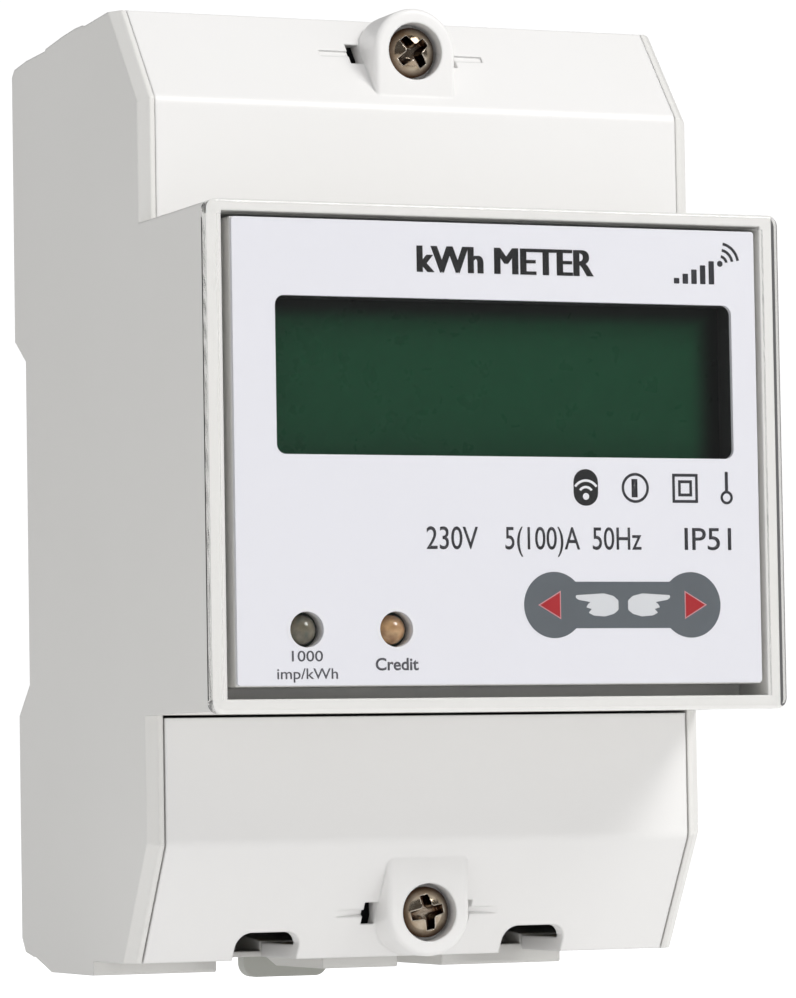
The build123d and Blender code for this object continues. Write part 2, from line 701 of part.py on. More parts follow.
with BuildPart() as neutral_busbar:
    brick(neutral_strap_x, busbar_y, (-36.0, -12.0))
    brick(neutral_strap_x, busbar_y, (12.0, 36.0))
    brick((neutral_x - 2.5, neutral_x + 2.5), busbar_y, (-12.0, 12.0))
save(neutral_busbar.part, "neutral_busbar")

with BuildPart() as current_transformer:
    rod_z(neutral_x, -11.0, (-5.0, 5.0), 7.6)
    fillet(current_transformer.edges().filter_by(GeomType.CIRCLE), 1.2)
    rod_z(neutral_x, -11.0, (-5.0, 5.0), 3.3, mode=Mode.SUBTRACT)
save(current_transformer.part, "current_transformer")


# ---------------------------------------------------------------------------
# Circuit boards and what stands on them
# ---------------------------------------------------------------------------
def circuit_board(front, half_width, half_height, hole_places, hole_radius):
    """A flat board, its front face at Y = front, with screw holes."""
    brick((-half_width, half_width), (front, front + board_thickness), (-half_height, half_height))
    for hole_x, hole_z in hole_places:
        rod_y(hole_x, (front, front + board_thickness), hole_z, hole_radius, mode=Mode.SUBTRACT)


def corners(x, z):
    """The four places at plus and minus x and z."""
    return [(sx * x, sz * z) for sx in (1, -1) for sz in (1, -1)]


def board_screws(places, head_y, direction, length):
    """Small screws along Y: heads on the board, shanks pointing in the given direction."""
    for screw_x, screw_z in places:
        rod_y(screw_x, (head_y, head_y - direction * 1.4), screw_z, 2.0)
        rod_y(screw_x, (head_y, head_y + direction * length), screw_z, 0.85)


with BuildPart() as main_board:
    circuit_board(main_board_y, 34.5, 27.8, corners(31.0, 24.0), 1.2)
save(main_board.part, "main_board")

with BuildPart() as main_board_screws:
    board_screws(corners(31.0, 24.0), main_board_y, 1, 6.0)
save(main_board_screws.part, "main_board_screws")

with BuildPart() as power_transformer:
    brick((-27.0, -1.0), (-41.0, main_board_y), (-2.0, 20.0))
    fillet(power_transformer.edges().filter_by(Axis.Y), 1.5)
    brick((-24.0, -4.0), (-43.0, -41.0), (2.0, 16.0))
save(power_transformer.part, "power_transformer")

# Each can's X, Z, radius and height.
cans = ((6.0, 18.0, 5.0, 16.0), (18.5, 18.0, 5.0, 16.0), (24.0, 5.0, 4.0, 12.0))

with BuildPart() as filter_capacitors:
    for can_x, can_z, radius, height in cans:
        rod_y(can_x, (main_board_y - height, main_board_y), can_z, radius)
    fillet(filter_capacitors.faces().filter_by(Axis.Y).filter_by(
        lambda face: face.center().Y < main_board_y - 1.0).edges(), 0.6)
save(filter_capacitors.part, "filter_capacitors")

with BuildPart() as surge_varistor:
    rod_x((-24.0, -19.5), main_board_y - 9.5, -14.0, 7.0)
    fillet(surge_varistor.edges().filter_by(GeomType.CIRCLE), 1.0)
    for lead_z in (-17.75, -10.25):
        rod_y(-21.75, (main_board_y - 6.0, main_board_y), lead_z, 0.4)
save(surge_varistor.part, "surge_varistor")

with BuildPart() as backup_battery:
    rod_x((2.0, 27.0), main_board_y - 7.2, -18.5, 7.15)
    rod_x((27.0, 28.2), main_board_y - 7.2, -18.5, 2.5)
save(backup_battery.part, "backup_battery")

with BuildPart() as metering_chip:
    brick((-8.0, 2.0), (main_board_y - 1.5, main_board_y), (-16.0, -6.0))
    chamfer(metering_chip.faces().sort_by(Axis.Y)[0].edges(), 0.25)
save(metering_chip.part, "metering_chip")

with BuildPart() as quartz_crystal:
    with BuildSketch(Plane.XZ.offset(-main_board_y)):
        with Locations((8.0, -6.0)):
            SlotOverall(10.5, 4.4)
    extrude(amount=3.4)
save(quartz_crystal.part, "quartz_crystal")

with BuildPart() as board_connector:
    brick((31.0, 33.5), (communication_board_y + board_thickness, main_board_y), (-12.0, 12.0))
save(board_connector.part, "board_connector")

spacer_places = corners(31.0, 19.0)
spacer_radius = 2.2

with BuildPart() as communication_board:
    circuit_board(communication_board_y, 34.0, 26.5, spacer_places, 1.2)
save(communication_board.part, "communication_board")

with BuildPart() as board_spacers:
    for spacer_x, spacer_z in spacer_places:
        rod_y(spacer_x, (communication_board_y + board_thickness, main_board_y), spacer_z, spacer_radius)
save(board_spacers.part, "board_spacers")

with BuildPart() as modem_module:
    brick((-26.0, 4.0), (communication_board_y - 2.6, communication_board_y), (-14.0, 16.0))
    chamfer(modem_module.faces().sort_by(Axis.Y)[0].edges(), 0.3)
save(modem_module.part, "modem_module")

card_y = (communication_board_y - 1.2, communication_board_y - 0.44)

with BuildPart() as sim_holder:
    brick((9.0, 27.0), (communication_board_y - 1.8, communication_board_y), (-12.0, 8.0))
    brick((10.4, 25.6), (card_y[0] - 0.05, card_y[1] + 0.05), (-12.0, 6.0), mode=Mode.SUBTRACT)
save(sim_holder.part, "sim_holder")

with BuildPart() as sim_card:
    brick((10.5, 25.5), card_y, (-19.0, 5.9))
    chamfer(sim_card.edges().filter_by(Axis.Y).sort_by(Axis.X)[-2:].sort_by(Axis.Z)[0], 2.5)
save(sim_card.part, "sim_card")

with BuildPart() as antenna:
    brick((-26.0, 24.0), (-46.0, -34.0), (partition_z - 0.4, partition_z))
save(antenna.part, "antenna")

with BuildPart() as antenna_lead:
    with BuildLine() as lead_route:
        FilletPolyline(
            (-22.0, -49.6, 14.0), (-22.0, -52.4, 14.0), (-22.0, -52.4, 27.5), (-22.0, -46.0, 27.5),
            radius=1.2,
        )
    with BuildSketch(Plane(origin=lead_route.line @ 0, z_dir=lead_route.line % 0)):
        Circle(0.6)
    sweep(path=lead_route.line)
save(antenna_lead.part, "antenna_lead")

display_screw_places = corners(30.0, 23.9)

with BuildPart() as display_board:
    circuit_board(display_board_y, 32.8, 25.8, display_screw_places, 1.2)
save(display_board.part, "display_board")

with BuildPart() as display_board_screws:
    board_screws(display_screw_places, display_board_y + board_thickness, -1, 5.0)
save(display_board_screws.part, "display_board_screws")

processor_y = (display_board_y + board_thickness, display_board_y + board_thickness + 1.5)

with BuildPart() as processor_chip:
    brick((-7.0, 5.0), processor_y, (-12.0, 0.0))
    chamfer(processor_chip.faces().sort_by(Axis.Y)[-1].edges(), 0.25)
save(processor_chip.part, "processor_chip")

glass_x = (window_x[0] - 1.4, window_x[1] + 1.4)
glass_z = (window_z[0] - 2.0, window_z[1] + 2.0)
gasket_back_y = -64.3
gasket_collar = window_frame - 0.05
glass_y = (gasket_back_y, gasket_back_y + 2.0)

# A black collar that lines the window, with a flange between the tray and the glass.
with BuildPart() as lcd_gasket:
    brick(
        (window_x[0] - gasket_collar, window_x[1] + gasket_collar), (tray_y, gasket_back_y),
        (window_z[0] - gasket_collar, window_z[1] + gasket_collar),
    )
    brick(glass_x, (tray_inner_y, gasket_back_y), glass_z)
    brick(window_x, (tray_y, gasket_back_y), window_z, mode=Mode.SUBTRACT)
save(lcd_gasket.part, "lcd_gasket")

with BuildPart() as lcd_glass:
    brick(glass_x, glass_y, glass_z)
    chamfer(lcd_glass.faces().sort_by(Axis.Y)[0].edges(), 0.2)
save(lcd_glass.part, "lcd_glass")

strip_z = 2.2

with BuildPart() as lcd_backlight:
    brick(
        (glass_x[0] + 1.0, glass_x[1] - 1.0), (glass_y[1], display_board_y),
        (glass_z[0] + strip_z + 0.3, glass_z[1] - strip_z - 0.3),
    )
save(lcd_backlight.part, "lcd_backlight")

with BuildPart() as elastomer_connectors:
    for strip_low in (glass_z[0] + 0.1, glass_z[1] - strip_z + 0.1):
        brick(
            (glass_x[0] + 2.0, glass_x[1] - 2.0), (glass_y[1], display_board_y),
            (strip_low, strip_low + 1.9),
        )
save(elastomer_connectors.part, "elastomer_connectors")

lamp_radius = 1.8
lamp_tip_y = -67.9

for name, lamp_x in (("pulse_led", pulse_lamp_x), ("credit_led", credit_lamp_x)):
    with BuildPart() as lamp:
        with BuildSketch(Plane.XY) as lamp_section:
            with BuildLine():
                Line((0, lamp_tip_y), (0, display_board_y))
                Line((0, display_board_y), (lamp_radius + 0.3, display_board_y))
                Line((lamp_radius + 0.3, display_board_y), (lamp_radius + 0.3, display_board_y - 1.0))
                Line((lamp_radius + 0.3, display_board_y - 1.0), (lamp_radius, display_board_y - 1.0))
                Line((lamp_radius, display_board_y - 1.0), (lamp_radius, lamp_tip_y + lamp_radius))
                RadiusArc((lamp_radius, lamp_tip_y + lamp_radius), (0, lamp_tip_y), lamp_radius)
            make_face()
        revolve(lamp_section.sketch, axis=Axis.Y)
    save(lamp.part.moved(Location((lamp_x, 0, lamp_z))), name)

with BuildPart() as touch_springs:
    for touch_x in (touch_left_x, touch_right_x):
        rod_y(touch_x, (display_board_y - 0.6, display_board_y), touch_z, 3.2)
        rod_y(touch_x, (tray_inner_y, tray_inner_y + 0.6), touch_z, 3.2)
        rod_y(touch_x, (tray_inner_y + 0.6, display_board_y - 0.6), touch_z, 1.6)
save(touch_springs.part, "touch_springs")

# ---------------------------------------------------------------------------
# Case screws, from behind through the rear cover
# ---------------------------------------------------------------------------
with BuildPart() as case_screws:
    for screw_x in (-31.0, 31.0):
        for screw_z in (-49.0, 46.0):
            rod_y(screw_x, (pad_y - 1.2, pad_y - 0.1), screw_z, 2.8)
            rod_y(screw_x, (-7.6, pad_y - 1.2), screw_z, 1.4)
            brick((screw_x - 1.8, screw_x + 1.8), (pad_y - 0.8, pad_y), (screw_z - 0.35, screw_z + 0.35),
                  mode=Mode.SUBTRACT)
            brick((screw_x - 0.35, screw_x + 0.35), (pad_y - 0.8, pad_y), (screw_z - 1.8, screw_z + 1.8),
                  mode=Mode.SUBTRACT)
save(case_screws.part, "case_screws")
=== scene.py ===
# %% [markdown]
# # A rail-mounted electricity meter
# The meter's real shapes come packed as a fixed frame: one mesh for each separate part, in metres, with the
# front facing -Y and up along +Z. This file adds what the parts lack: finishes, the printing on the
# nameplate, a wound latch spring, and a plain studio. Each step says what it makes first.

# %% Load the frame
import bpy
import json
import math
from mathutils import Matrix, Vector


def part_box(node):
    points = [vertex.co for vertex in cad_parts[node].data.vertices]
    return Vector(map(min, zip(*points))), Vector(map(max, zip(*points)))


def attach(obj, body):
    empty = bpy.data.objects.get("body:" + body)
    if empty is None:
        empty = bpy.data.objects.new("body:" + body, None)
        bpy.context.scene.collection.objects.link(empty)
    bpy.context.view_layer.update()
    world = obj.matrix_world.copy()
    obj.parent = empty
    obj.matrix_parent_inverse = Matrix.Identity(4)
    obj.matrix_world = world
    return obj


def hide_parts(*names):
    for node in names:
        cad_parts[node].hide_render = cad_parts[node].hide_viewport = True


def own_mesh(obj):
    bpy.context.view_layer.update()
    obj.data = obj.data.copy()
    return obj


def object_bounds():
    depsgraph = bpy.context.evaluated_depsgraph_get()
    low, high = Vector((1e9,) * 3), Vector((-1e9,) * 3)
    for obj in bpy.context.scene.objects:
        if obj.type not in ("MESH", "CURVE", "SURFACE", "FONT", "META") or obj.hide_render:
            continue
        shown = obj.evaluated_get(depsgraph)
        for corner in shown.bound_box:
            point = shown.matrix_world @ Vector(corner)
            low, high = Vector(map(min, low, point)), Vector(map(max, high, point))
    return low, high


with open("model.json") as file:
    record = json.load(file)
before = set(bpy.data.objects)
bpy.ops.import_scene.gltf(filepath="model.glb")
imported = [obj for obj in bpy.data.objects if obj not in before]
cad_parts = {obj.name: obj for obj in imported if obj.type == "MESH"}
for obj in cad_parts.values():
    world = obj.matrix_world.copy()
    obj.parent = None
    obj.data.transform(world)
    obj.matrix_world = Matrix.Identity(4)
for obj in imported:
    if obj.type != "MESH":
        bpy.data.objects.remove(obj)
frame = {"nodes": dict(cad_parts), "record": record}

MM = 0.001
cad_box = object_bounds()
nodes = frame["nodes"]
print("parts in the frame:", len(nodes), "box", [round(v, 4) for corner in cad_box for v in corner])

# %% [markdown]
# ## Camera
# A long lens from the left and slightly below keeps the upright edges nearly parallel, as in a catalogue
# picture. A shorter lens nearer the meter would spread the near side, so it stands about 0.67 m away.

# %% Camera
lens_data = bpy.data.cameras.new("catalogue_lens")
lens_data.lens = 180.85
lens_data.sensor_width = 36.0
lens_data.clip_start = 0.05
camera = bpy.data.objects.new("catalogue_camera", lens_data)
bpy.context.scene.collection.objects.link(camera)
turn = Matrix.Rotation(math.radians(-22.68), 4, "Z") @ Matrix.Rotation(math.radians(93.33), 4, "X")
roll = Matrix.Rotation(math.radians(-0.94), 4, "Z")
camera.matrix_world = Matrix.Translation((-0.24614, -0.62556, -0.04011)) @ turn @ roll
bpy.context.scene.camera = camera
print("camera at", [round(v, 3) for v in camera.matrix_world.translation])

# %% [markdown]
# ## Light
# The white plastic needs soft light with one clear direction, or its steps and chamfers vanish. A large panel
# above and to the right lights the front and leaves the left flank in shade. A weaker panel overhead picks out
# the sloping top. The surroundings give the rest. They look plain white directly, but shine back only weakly in
# glossy surfaces, as dark screens beside the lens would, so the clear cover doesn't veil the display.

# %% Light panels
def panel(name, place, target, size, power, tint=(1.0, 1.0, 1.0)):
    """A square softbox at a place, aimed at a target."""
    data = bpy.data.lights.new(name, "AREA")
    data.shape = "SQUARE"
    data.size = size
    data.energy = power
    data.color = tint
    lamp = bpy.data.objects.new(name, data)
    bpy.context.scene.collection.objects.link(lamp)
    lamp.location = place
    lamp.rotation_euler = (Vector(target) - Vector(place)).to_track_quat("-Z", "Y").to_euler()
    return lamp


panel("key_panel", (0.62, -0.95, 0.95), (0.0, -0.04, 0.0), 0.55, 10.0, (1.0, 0.995, 0.985))
panel("overhead_panel", (-0.10, -0.25, 1.0), (0.0, -0.03, 0.05), 0.7, 0.4)

# %% Surroundings
world = bpy.data.worlds.new("white_room")
world.use_nodes = True
bpy.context.scene.world = world
sky = world.node_tree
sky.nodes.clear()
place_in_sky = sky.nodes.new("ShaderNodeTexCoord")
split = sky.nodes.new("ShaderNodeSeparateXYZ")
height_ramp = sky.nodes.new("ShaderNodeValToRGB")
height_ramp.color_ramp.elements[0].position = 0.35
height_ramp.color_ramp.elements[0].color = (0.74, 0.74, 0.745, 1)
height_ramp.color_ramp.elements[1].position = 0.75
height_ramp.color_ramp.elements[1].color = (0.54, 0.54, 0.545, 1)
lift = sky.nodes.new("ShaderNodeMapRange")
lift.inputs["From Min"].default_value = -1.0
lift.inputs["From Max"].default_value = 1.0
room_light = sky.nodes.new("ShaderNodeBackground")
white_view = sky.nodes.new("ShaderNodeBackground")
white_view.inputs["Color"].default_value = (1.0, 1.0, 1.0, 1)
white_view.inputs["Strength"].default_value = 1.05
ray_kind = sky.nodes.new("ShaderNodeLightPath")
either = sky.nodes.new("ShaderNodeMixShader")
sky_out = sky.nodes.new("ShaderNodeOutputWorld")
dim_shine = sky.nodes.new("ShaderNodeMapRange")
dim_shine.inputs["To Min"].default_value = 1.0
dim_shine.inputs["To Max"].default_value = 0.22
sky.links.new(ray_kind.outputs["Is Glossy Ray"], dim_shine.inputs["Value"])
sky.links.new(dim_shine.outputs["Result"], room_light.inputs["Strength"])
sky.links.new(place_in_sky.outputs["Generated"], split.inputs["Vector"])
sky.links.new(split.outputs["Z"], lift.inputs["Value"])
sky.links.new(lift.outputs["Result"], height_ramp.inputs["Fac"])
sky.links.new(height_ramp.outputs["Color"], room_light.inputs["Color"])
sky.links.new(ray_kind.outputs["Is Camera Ray"], either.inputs["Fac"])
sky.links.new(room_light.outputs["Background"], either.inputs[1])
sky.links.new(white_view.outputs["Background"], either.inputs[2])
sky.links.new(either.outputs["Shader"], sky_out.inputs["Surface"])
bpy.context.scene.view_settings.view_transform = "Standard"
print("surroundings made, view transform", bpy.context.scene.view_settings.view_transform)

# %% [markdown]
# ## Helpers for shading
# `srgb` lets colours be given as 0 to 255 display values. `wire` joins sockets by name, which keeps the node
# graphs below short enough to read.

# %% Colour and wiring helpers
def srgb(red, green, blue, alpha=1.0):
    """Display values 0-255 as a linear colour."""
    linear = []
    for value in (red, green, blue):
        share = value / 255
        linear.append(share / 12.92 if share <= 0.04045 else ((share + 0.055) / 1.055) ** 2.4)
    return (*linear, alpha)


def wire(tree, source, output, target, entry):
    """Links one node's output to another node's input."""
    tree.links.new(source.outputs[output], target.inputs[entry])


def new_group(name, entries, results):
    """An empty shader node group with named float or vector sockets: (name, kind, default)."""
    group = bpy.data.node_groups.new(name, "ShaderNodeTree")
    for label, kind, default in entries:
        socket = group.interface.new_socket(name=label, in_out="INPUT", socket_type=kind)
        if default is not None:
            socket.default_value = default
    for label, kind in results:
        group.interface.new_socket(name=label, in_out="OUTPUT", socket_type=kind)
    return group, group.nodes.new("NodeGroupInput"), group.nodes.new("NodeGroupOutput")


def number(tree, operation, first, second):
    """A Math node; each operand is a number or a (node, output) pair."""
    node = tree.nodes.new("ShaderNodeMath")
    node.operation = operation
    for index, operand in enumerate((first, second)):
        if isinstance(operand, tuple):
            wire(tree, operand[0], operand[1], node, index)
        elif operand is not None:
            node.inputs[index].default_value = operand
    return node


# %% [markdown]
# ## Shared surface effects
# Every moulded or machined surface has some of the same life: a fine texture from the tool, a slow drift of
# tone, edges rubbed a little paler, and dust on what faces up. Each effect is one node group, built once and
# given its own numbers in every finish. Painting them as images would need pictures; nodes stay sharp close up.

# %% Tool grain: two sizes of fine noise, as a height
grain_group, g_in, g_out = new_group(
    "tool_grain",
    [
        ("Place", "NodeSocketVector", None), ("Scale", "NodeSocketFloat", 3000.0),
        ("Streak", "NodeSocketFloat", 1.0),
    ],
    [("Height", "NodeSocketFloat")],
)
stretch = grain_group.nodes.new("ShaderNodeVectorMath")
stretch.operation = "MULTIPLY"
streak_vector = grain_group.nodes.new("ShaderNodeCombineXYZ")
streak_vector.inputs["X"].default_value = 1.0
streak_vector.inputs["Y"].default_value = 1.0
wire(grain_group, g_in, "Streak", streak_vector, "Z")
wire(grain_group, g_in, "Place", stretch, 0)
wire(grain_group, streak_vector, "Vector", stretch, 1)
coarse = grain_group.nodes.new("ShaderNodeTexNoise")
coarse.inputs["Detail"].default_value = 3.0
coarse.inputs["Roughness"].default_value = 0.65
wire(grain_group, stretch, "Vector", coarse, "Vector")
wire(grain_group, g_in, "Scale", coarse, "Scale")
pits = grain_group.nodes.new("ShaderNodeTexVoronoi")
wire(grain_group, stretch, "Vector", pits, "Vector")
pit_scale = number(grain_group, "MULTIPLY", (g_in, "Scale"), 0.7)
wire(grain_group, pit_scale, "Value", pits, "Scale")
pit_share = number(grain_group, "MULTIPLY", (pits, "Distance"), 0.35)
grain_sum = number(grain_group, "ADD", (coarse, "Fac"), (pit_share, "Value"))
wire(grain_group, grain_sum, "Value", g_out, "Height")

# %% Slow drift of tone: large soft noise, as a value around 0.5
drift_group, d_in, d_out = new_group(
    "tone_drift",
    [
        ("Place", "NodeSocketVector", None), ("Scale", "NodeSocketFloat", 30.0),
        ("Contrast", "NodeSocketFloat", 1.0),
    ],
    [("Value", "NodeSocketFloat")],
)
cloud = drift_group.nodes.new("ShaderNodeTexNoise")
cloud.inputs["Detail"].default_value = 4.0
wire(drift_group, d_in, "Place", cloud, "Vector")
wire(drift_group, d_in, "Scale", cloud, "Scale")
centred = number(drift_group, "SUBTRACT", (cloud, "Fac"), 0.5)
scaled = number(drift_group, "MULTIPLY", (centred, "Value"), (d_in, "Contrast"))
drift_value = number(drift_group, "ADD", (scaled, "Value"), 0.5)
drift_value.use_clamp = True
wire(drift_group, drift_value, "Value", d_out, "Value")

# %% Rubbed edges: where a rounded normal differs from the true one there is an edge
edge_group, e_in, e_out = new_group(
    "rubbed_edges",
    [("Place", "NodeSocketVector", None), ("Reach", "NodeSocketFloat", 0.0004)],
    [("Mask", "NodeSocketFloat")],
)
rounded = edge_group.nodes.new("ShaderNodeBevel")
rounded.samples = 4
wire(edge_group, e_in, "Reach", rounded, "Radius")
true_face = edge_group.nodes.new("ShaderNodeNewGeometry")
agree = edge_group.nodes.new("ShaderNodeVectorMath")
agree.operation = "DOT_PRODUCT"
wire(edge_group, rounded, "Normal", agree, 0)
wire(edge_group, true_face, "Normal", agree, 1)
bent = number(edge_group, "SUBTRACT", 1.0, (agree, "Value"))
grown = number(edge_group, "MULTIPLY", (bent, "Value"), 5.0)
breakup = edge_group.nodes.new("ShaderNodeTexNoise")
breakup.inputs["Scale"].default_value = 350.0
wire(edge_group, e_in, "Place", breakup, "Vector")
rubbed = number(edge_group, "MULTIPLY", (grown, "Value"), (breakup, "Fac"))
rubbed.use_clamp = True
wire(edge_group, rubbed, "Value", e_out, "Mask")

# %% Settled dust: faces that look up, broken by noise
dust_group, u_in, u_out = new_group(
    "settled_dust",
    [("Place", "NodeSocketVector", None), ("Amount", "NodeSocketFloat", 0.2)],
    [("Mask", "NodeSocketFloat")],
)
facing = dust_group.nodes.new("ShaderNodeNewGeometry")
facing_parts = dust_group.nodes.new("ShaderNodeSeparateXYZ")
wire(dust_group, facing, "Normal", facing_parts, "Vector")
upward = number(dust_group, "SUBTRACT", (facing_parts, "Z"), 0.55)
upward_gain = number(dust_group, "MULTIPLY", (upward, "Value"), 2.2)
upward_gain.use_clamp = True
specks = dust_group.nodes.new("ShaderNodeTexNoise")
specks.inputs["Scale"].default_value = 260.0
specks.inputs["Detail"].default_value = 5.0
wire(dust_group, u_in, "Place", specks, "Vector")
dusty = number(dust_group, "MULTIPLY", (upward_gain, "Value"), (specks, "Fac"))
dust_amount = number(dust_group, "MULTIPLY", (dusty, "Value"), (u_in, "Amount"))
wire(dust_group, dust_amount, "Value", u_out, "Mask")
print("surface effects:", [group.name for group in bpy.data.node_groups])


# %% [markdown]
# ## How a finish is put together
# A finish is one Principled shader whose colour, roughness and normal are fed by the effects above. `finish`
# wires them the same way every time, so a new finish is a line of numbers: two tones, a roughness, the grain's
# size and depth, and how far the corners are rounded. Writing each graph by hand would hide what differs.

# %% Build a finish
def finish(name, tone, shade, roughness, grain=2500.0, depth=0.02, streak=1.0, drift=25.0, contrast=1.4,
           corner=0.00025, wear=None, wear_reach=0.0004, dust=0.15, metallic=0.0, spread=0.06, sheen_spec=0.5):
    """A solid surface: tone and shade drift into each other, wear is the colour of rubbed edges."""
    material = bpy.data.materials.new(name)
    material.use_nodes = True
    tree = material.node_tree
    shader = tree.nodes["Principled BSDF"]
    shader.inputs["Metallic"].default_value = metallic
    shader.inputs["Specular IOR Level"].default_value = sheen_spec
    place = tree.nodes.new("ShaderNodeTexCoord")

    def effect(group, **values):
        node = tree.nodes.new("ShaderNodeGroup")
        node.node_tree = group
        wire(tree, place, "Object", node, "Place")
        for label, value in values.items():
            node.inputs[label].default_value = value
        return node

    clouds = effect(drift_group, Scale=drift, Contrast=contrast)
    texture = effect(grain_group, Scale=grain, Streak=streak)
    colour = tree.nodes.new("ShaderNodeMix")
    colour.data_type = "RGBA"
    colour.inputs["A"].default_value = shade
    colour.inputs["B"].default_value = tone
    wire(tree, clouds, "Value", colour, "Factor")
    last = colour
    if wear is not None:
        edges = effect(edge_group, Reach=wear_reach)
        worn = tree.nodes.new("ShaderNodeMix")
        worn.data_type = "RGBA"
        worn.inputs["B"].default_value = wear
        wire(tree, edges, "Mask", worn, "Factor")
        tree.links.new(last.outputs["Result"], worn.inputs["A"])
        last = worn
    if dust > 0:
        powder = effect(dust_group, Amount=dust)
        dusted = tree.nodes.new("ShaderNodeMix")
        dusted.data_type = "RGBA"
        dusted.inputs["B"].default_value = srgb(178, 174, 166)
        wire(tree, powder, "Mask", dusted, "Factor")
        tree.links.new(last.outputs["Result"], dusted.inputs["A"])
        last = dusted
    tree.links.new(last.outputs["Result"], shader.inputs["Base Color"])
    gloss = tree.nodes.new("ShaderNodeMapRange")
    gloss.inputs["To Min"].default_value = max(roughness - spread, 0.02)
    gloss.inputs["To Max"].default_value = min(roughness + spread, 1.0)
    mixed = number(tree, "MULTIPLY", (clouds, "Value"), (texture, "Height"))
    wire(tree, mixed, "Value", gloss, "Value")
    wire(tree, gloss, "Result", shader, "Roughness")
    soft_corner = tree.nodes.new("ShaderNodeBevel")
    soft_corner.samples = 4
    soft_corner.inputs["Radius"].default_value = corner
    relief = tree.nodes.new("ShaderNodeBump")
    relief.inputs["Strength"].default_value = 1.0
    relief.inputs["Distance"].default_value = depth * MM
    wire(tree, texture, "Height", relief, "Height")
    wire(tree, soft_corner, "Normal", relief, "Normal")
    wire(tree, relief, "Normal", shader, "Normal")
    return material


def lay_over(material, colour, mask, output):
    """Lays a colour over a finish's own, as far as a node's output says."""
    tree = material.node_tree
    base = tree.nodes["Principled BSDF"].inputs["Base Color"]
    mixed = tree.nodes.new("ShaderNodeMix")
    mixed.data_type = "RGBA"
    mixed.inputs["B"].default_value = colour
    tree.links.new(mask.outputs[output], mixed.inputs["Factor"])
    tree.links.new(base.links[0].from_socket, mixed.inputs["A"])
    tree.links.new(mixed.outputs["Result"], base)


# %% [markdown]
# ## White mouldings
# The case and both terminal covers are white ABS from spark-eroded tools: a satin surface with a grain finer
# than a tenth of a millimetre. The covers came from another batch and are a touch whiter than the case. Real
# white plastic is never 255 white, so the tones stay below it and the light makes the difference.

# %% White mouldings
finishes = {}
finishes["white_case"] = finish(
    "white_case", srgb(238, 237, 234), srgb(233, 232, 228), 0.42, grain=4200.0, depth=0.008, contrast=0.8,
    corner=0.0004, wear=srgb(246, 245, 242), dust=0.10,
)
finishes["cover_case"] = finish(
    "cover_case", srgb(245, 244, 243), srgb(241, 240, 238), 0.36, grain=4600.0, depth=0.006, contrast=0.8,
    corner=0.00045, wear=srgb(249, 249, 247), dust=0.08,
)
finishes["rear_case"] = finish(
    "rear_case", srgb(230, 230, 226), srgb(222, 222, 217), 0.55, grain=3000.0, depth=0.014, contrast=1.0,
    corner=0.0003, wear=srgb(240, 240, 236), dust=0.12,
)
finishes["latch_plastic"] = finish(
    "latch_plastic", srgb(205, 206, 200), srgb(192, 193, 186), 0.5, grain=2200.0, depth=0.02, contrast=1.2,
    corner=0.0003, wear=srgb(222, 223, 218), dust=0.15,
)
finishes["white_plastic"] = finish(
    "white_plastic", srgb(236, 236, 230), srgb(226, 226, 220), 0.5, grain=2600.0, depth=0.01,
)
print("white mouldings:", list(finishes))

# %% [markdown]
# ## Dark mouldings, coats and sleeves
# Inside are the everyday plastics of electrical gear: dark glass-filled nylon round the terminals, green
# auxiliary terminals, black relay and chip cases, shrink sleeves and dipped coats. The glass fibres give nylon
# short pale streaks, so its grain is stretched and strong; a shrink sleeve is nearly smooth.

# %% Dark mouldings, coats and sleeves
finishes["terminal_plastic"] = finish(
    "terminal_plastic", srgb(62, 64, 68), srgb(50, 52, 56), 0.58, grain=1500.0, depth=0.05, streak=0.35,
    contrast=1.8, corner=0.0003, wear=srgb(98, 100, 104), dust=0.35,
)
finishes["auxiliary_plastic"] = finish(
    "auxiliary_plastic", srgb(34, 120, 66), srgb(26, 102, 54), 0.42, grain=1800.0, depth=0.02, contrast=1.4,
    corner=0.0002, wear=srgb(84, 158, 108), dust=0.25,
)
finishes["relay_plastic"] = finish(
    "relay_plastic", srgb(38, 38, 41), srgb(30, 30, 33), 0.5, grain=1600.0, depth=0.03, contrast=1.5,
    corner=0.0003, wear=srgb(70, 70, 74), dust=0.3,
)
finishes["chip_black"] = finish(
    "chip_black", srgb(40, 41, 42), srgb(28, 29, 30), 0.62, grain=2600.0, depth=0.02, corner=0.0001, dust=0.2,
)
finishes["capacitor_sleeve"] = finish(
    "capacitor_sleeve", srgb(30, 34, 58), srgb(22, 25, 44), 0.28, grain=700.0, depth=0.02, corner=0.0002,
    wear=srgb(120, 124, 140), dust=0.2,
)
finishes["varistor_coat"] = finish(
    "varistor_coat", srgb(44, 92, 178), srgb(30, 70, 150), 0.4, grain=900.0, depth=0.06, contrast=1.8, dust=0.2,
)
finishes["battery_sleeve"] = finish(
    "battery_sleeve", srgb(66, 130, 92), srgb(52, 110, 76), 0.3, grain=600.0, depth=0.015, streak=0.2, dust=0.2,
)
finishes["transformer_yellow"] = finish(
    "transformer_yellow", srgb(226, 196, 70), srgb(206, 172, 48), 0.45, grain=500.0, depth=0.03, streak=6.0,
    contrast=1.6, corner=0.0003, wear=srgb(120, 108, 60), dust=0.25,
)
finishes["black_rubber"] = finish(
    "black_rubber", srgb(22, 26, 24), srgb(15, 18, 17), 0.75, grain=2600.0, depth=0.04, corner=0.0001, dust=0.0,
)
finishes["elastomer"] = finish(
    "elastomer", srgb(196, 150, 150), srgb(110, 96, 100), 0.6, grain=900.0, depth=0.02, streak=0.1, contrast=4.0,
)
finishes["card_plastic"] = finish(
    "card_plastic", srgb(236, 237, 240), srgb(228, 229, 233), 0.35, grain=3000.0, depth=0.004, corner=0.0001,
)
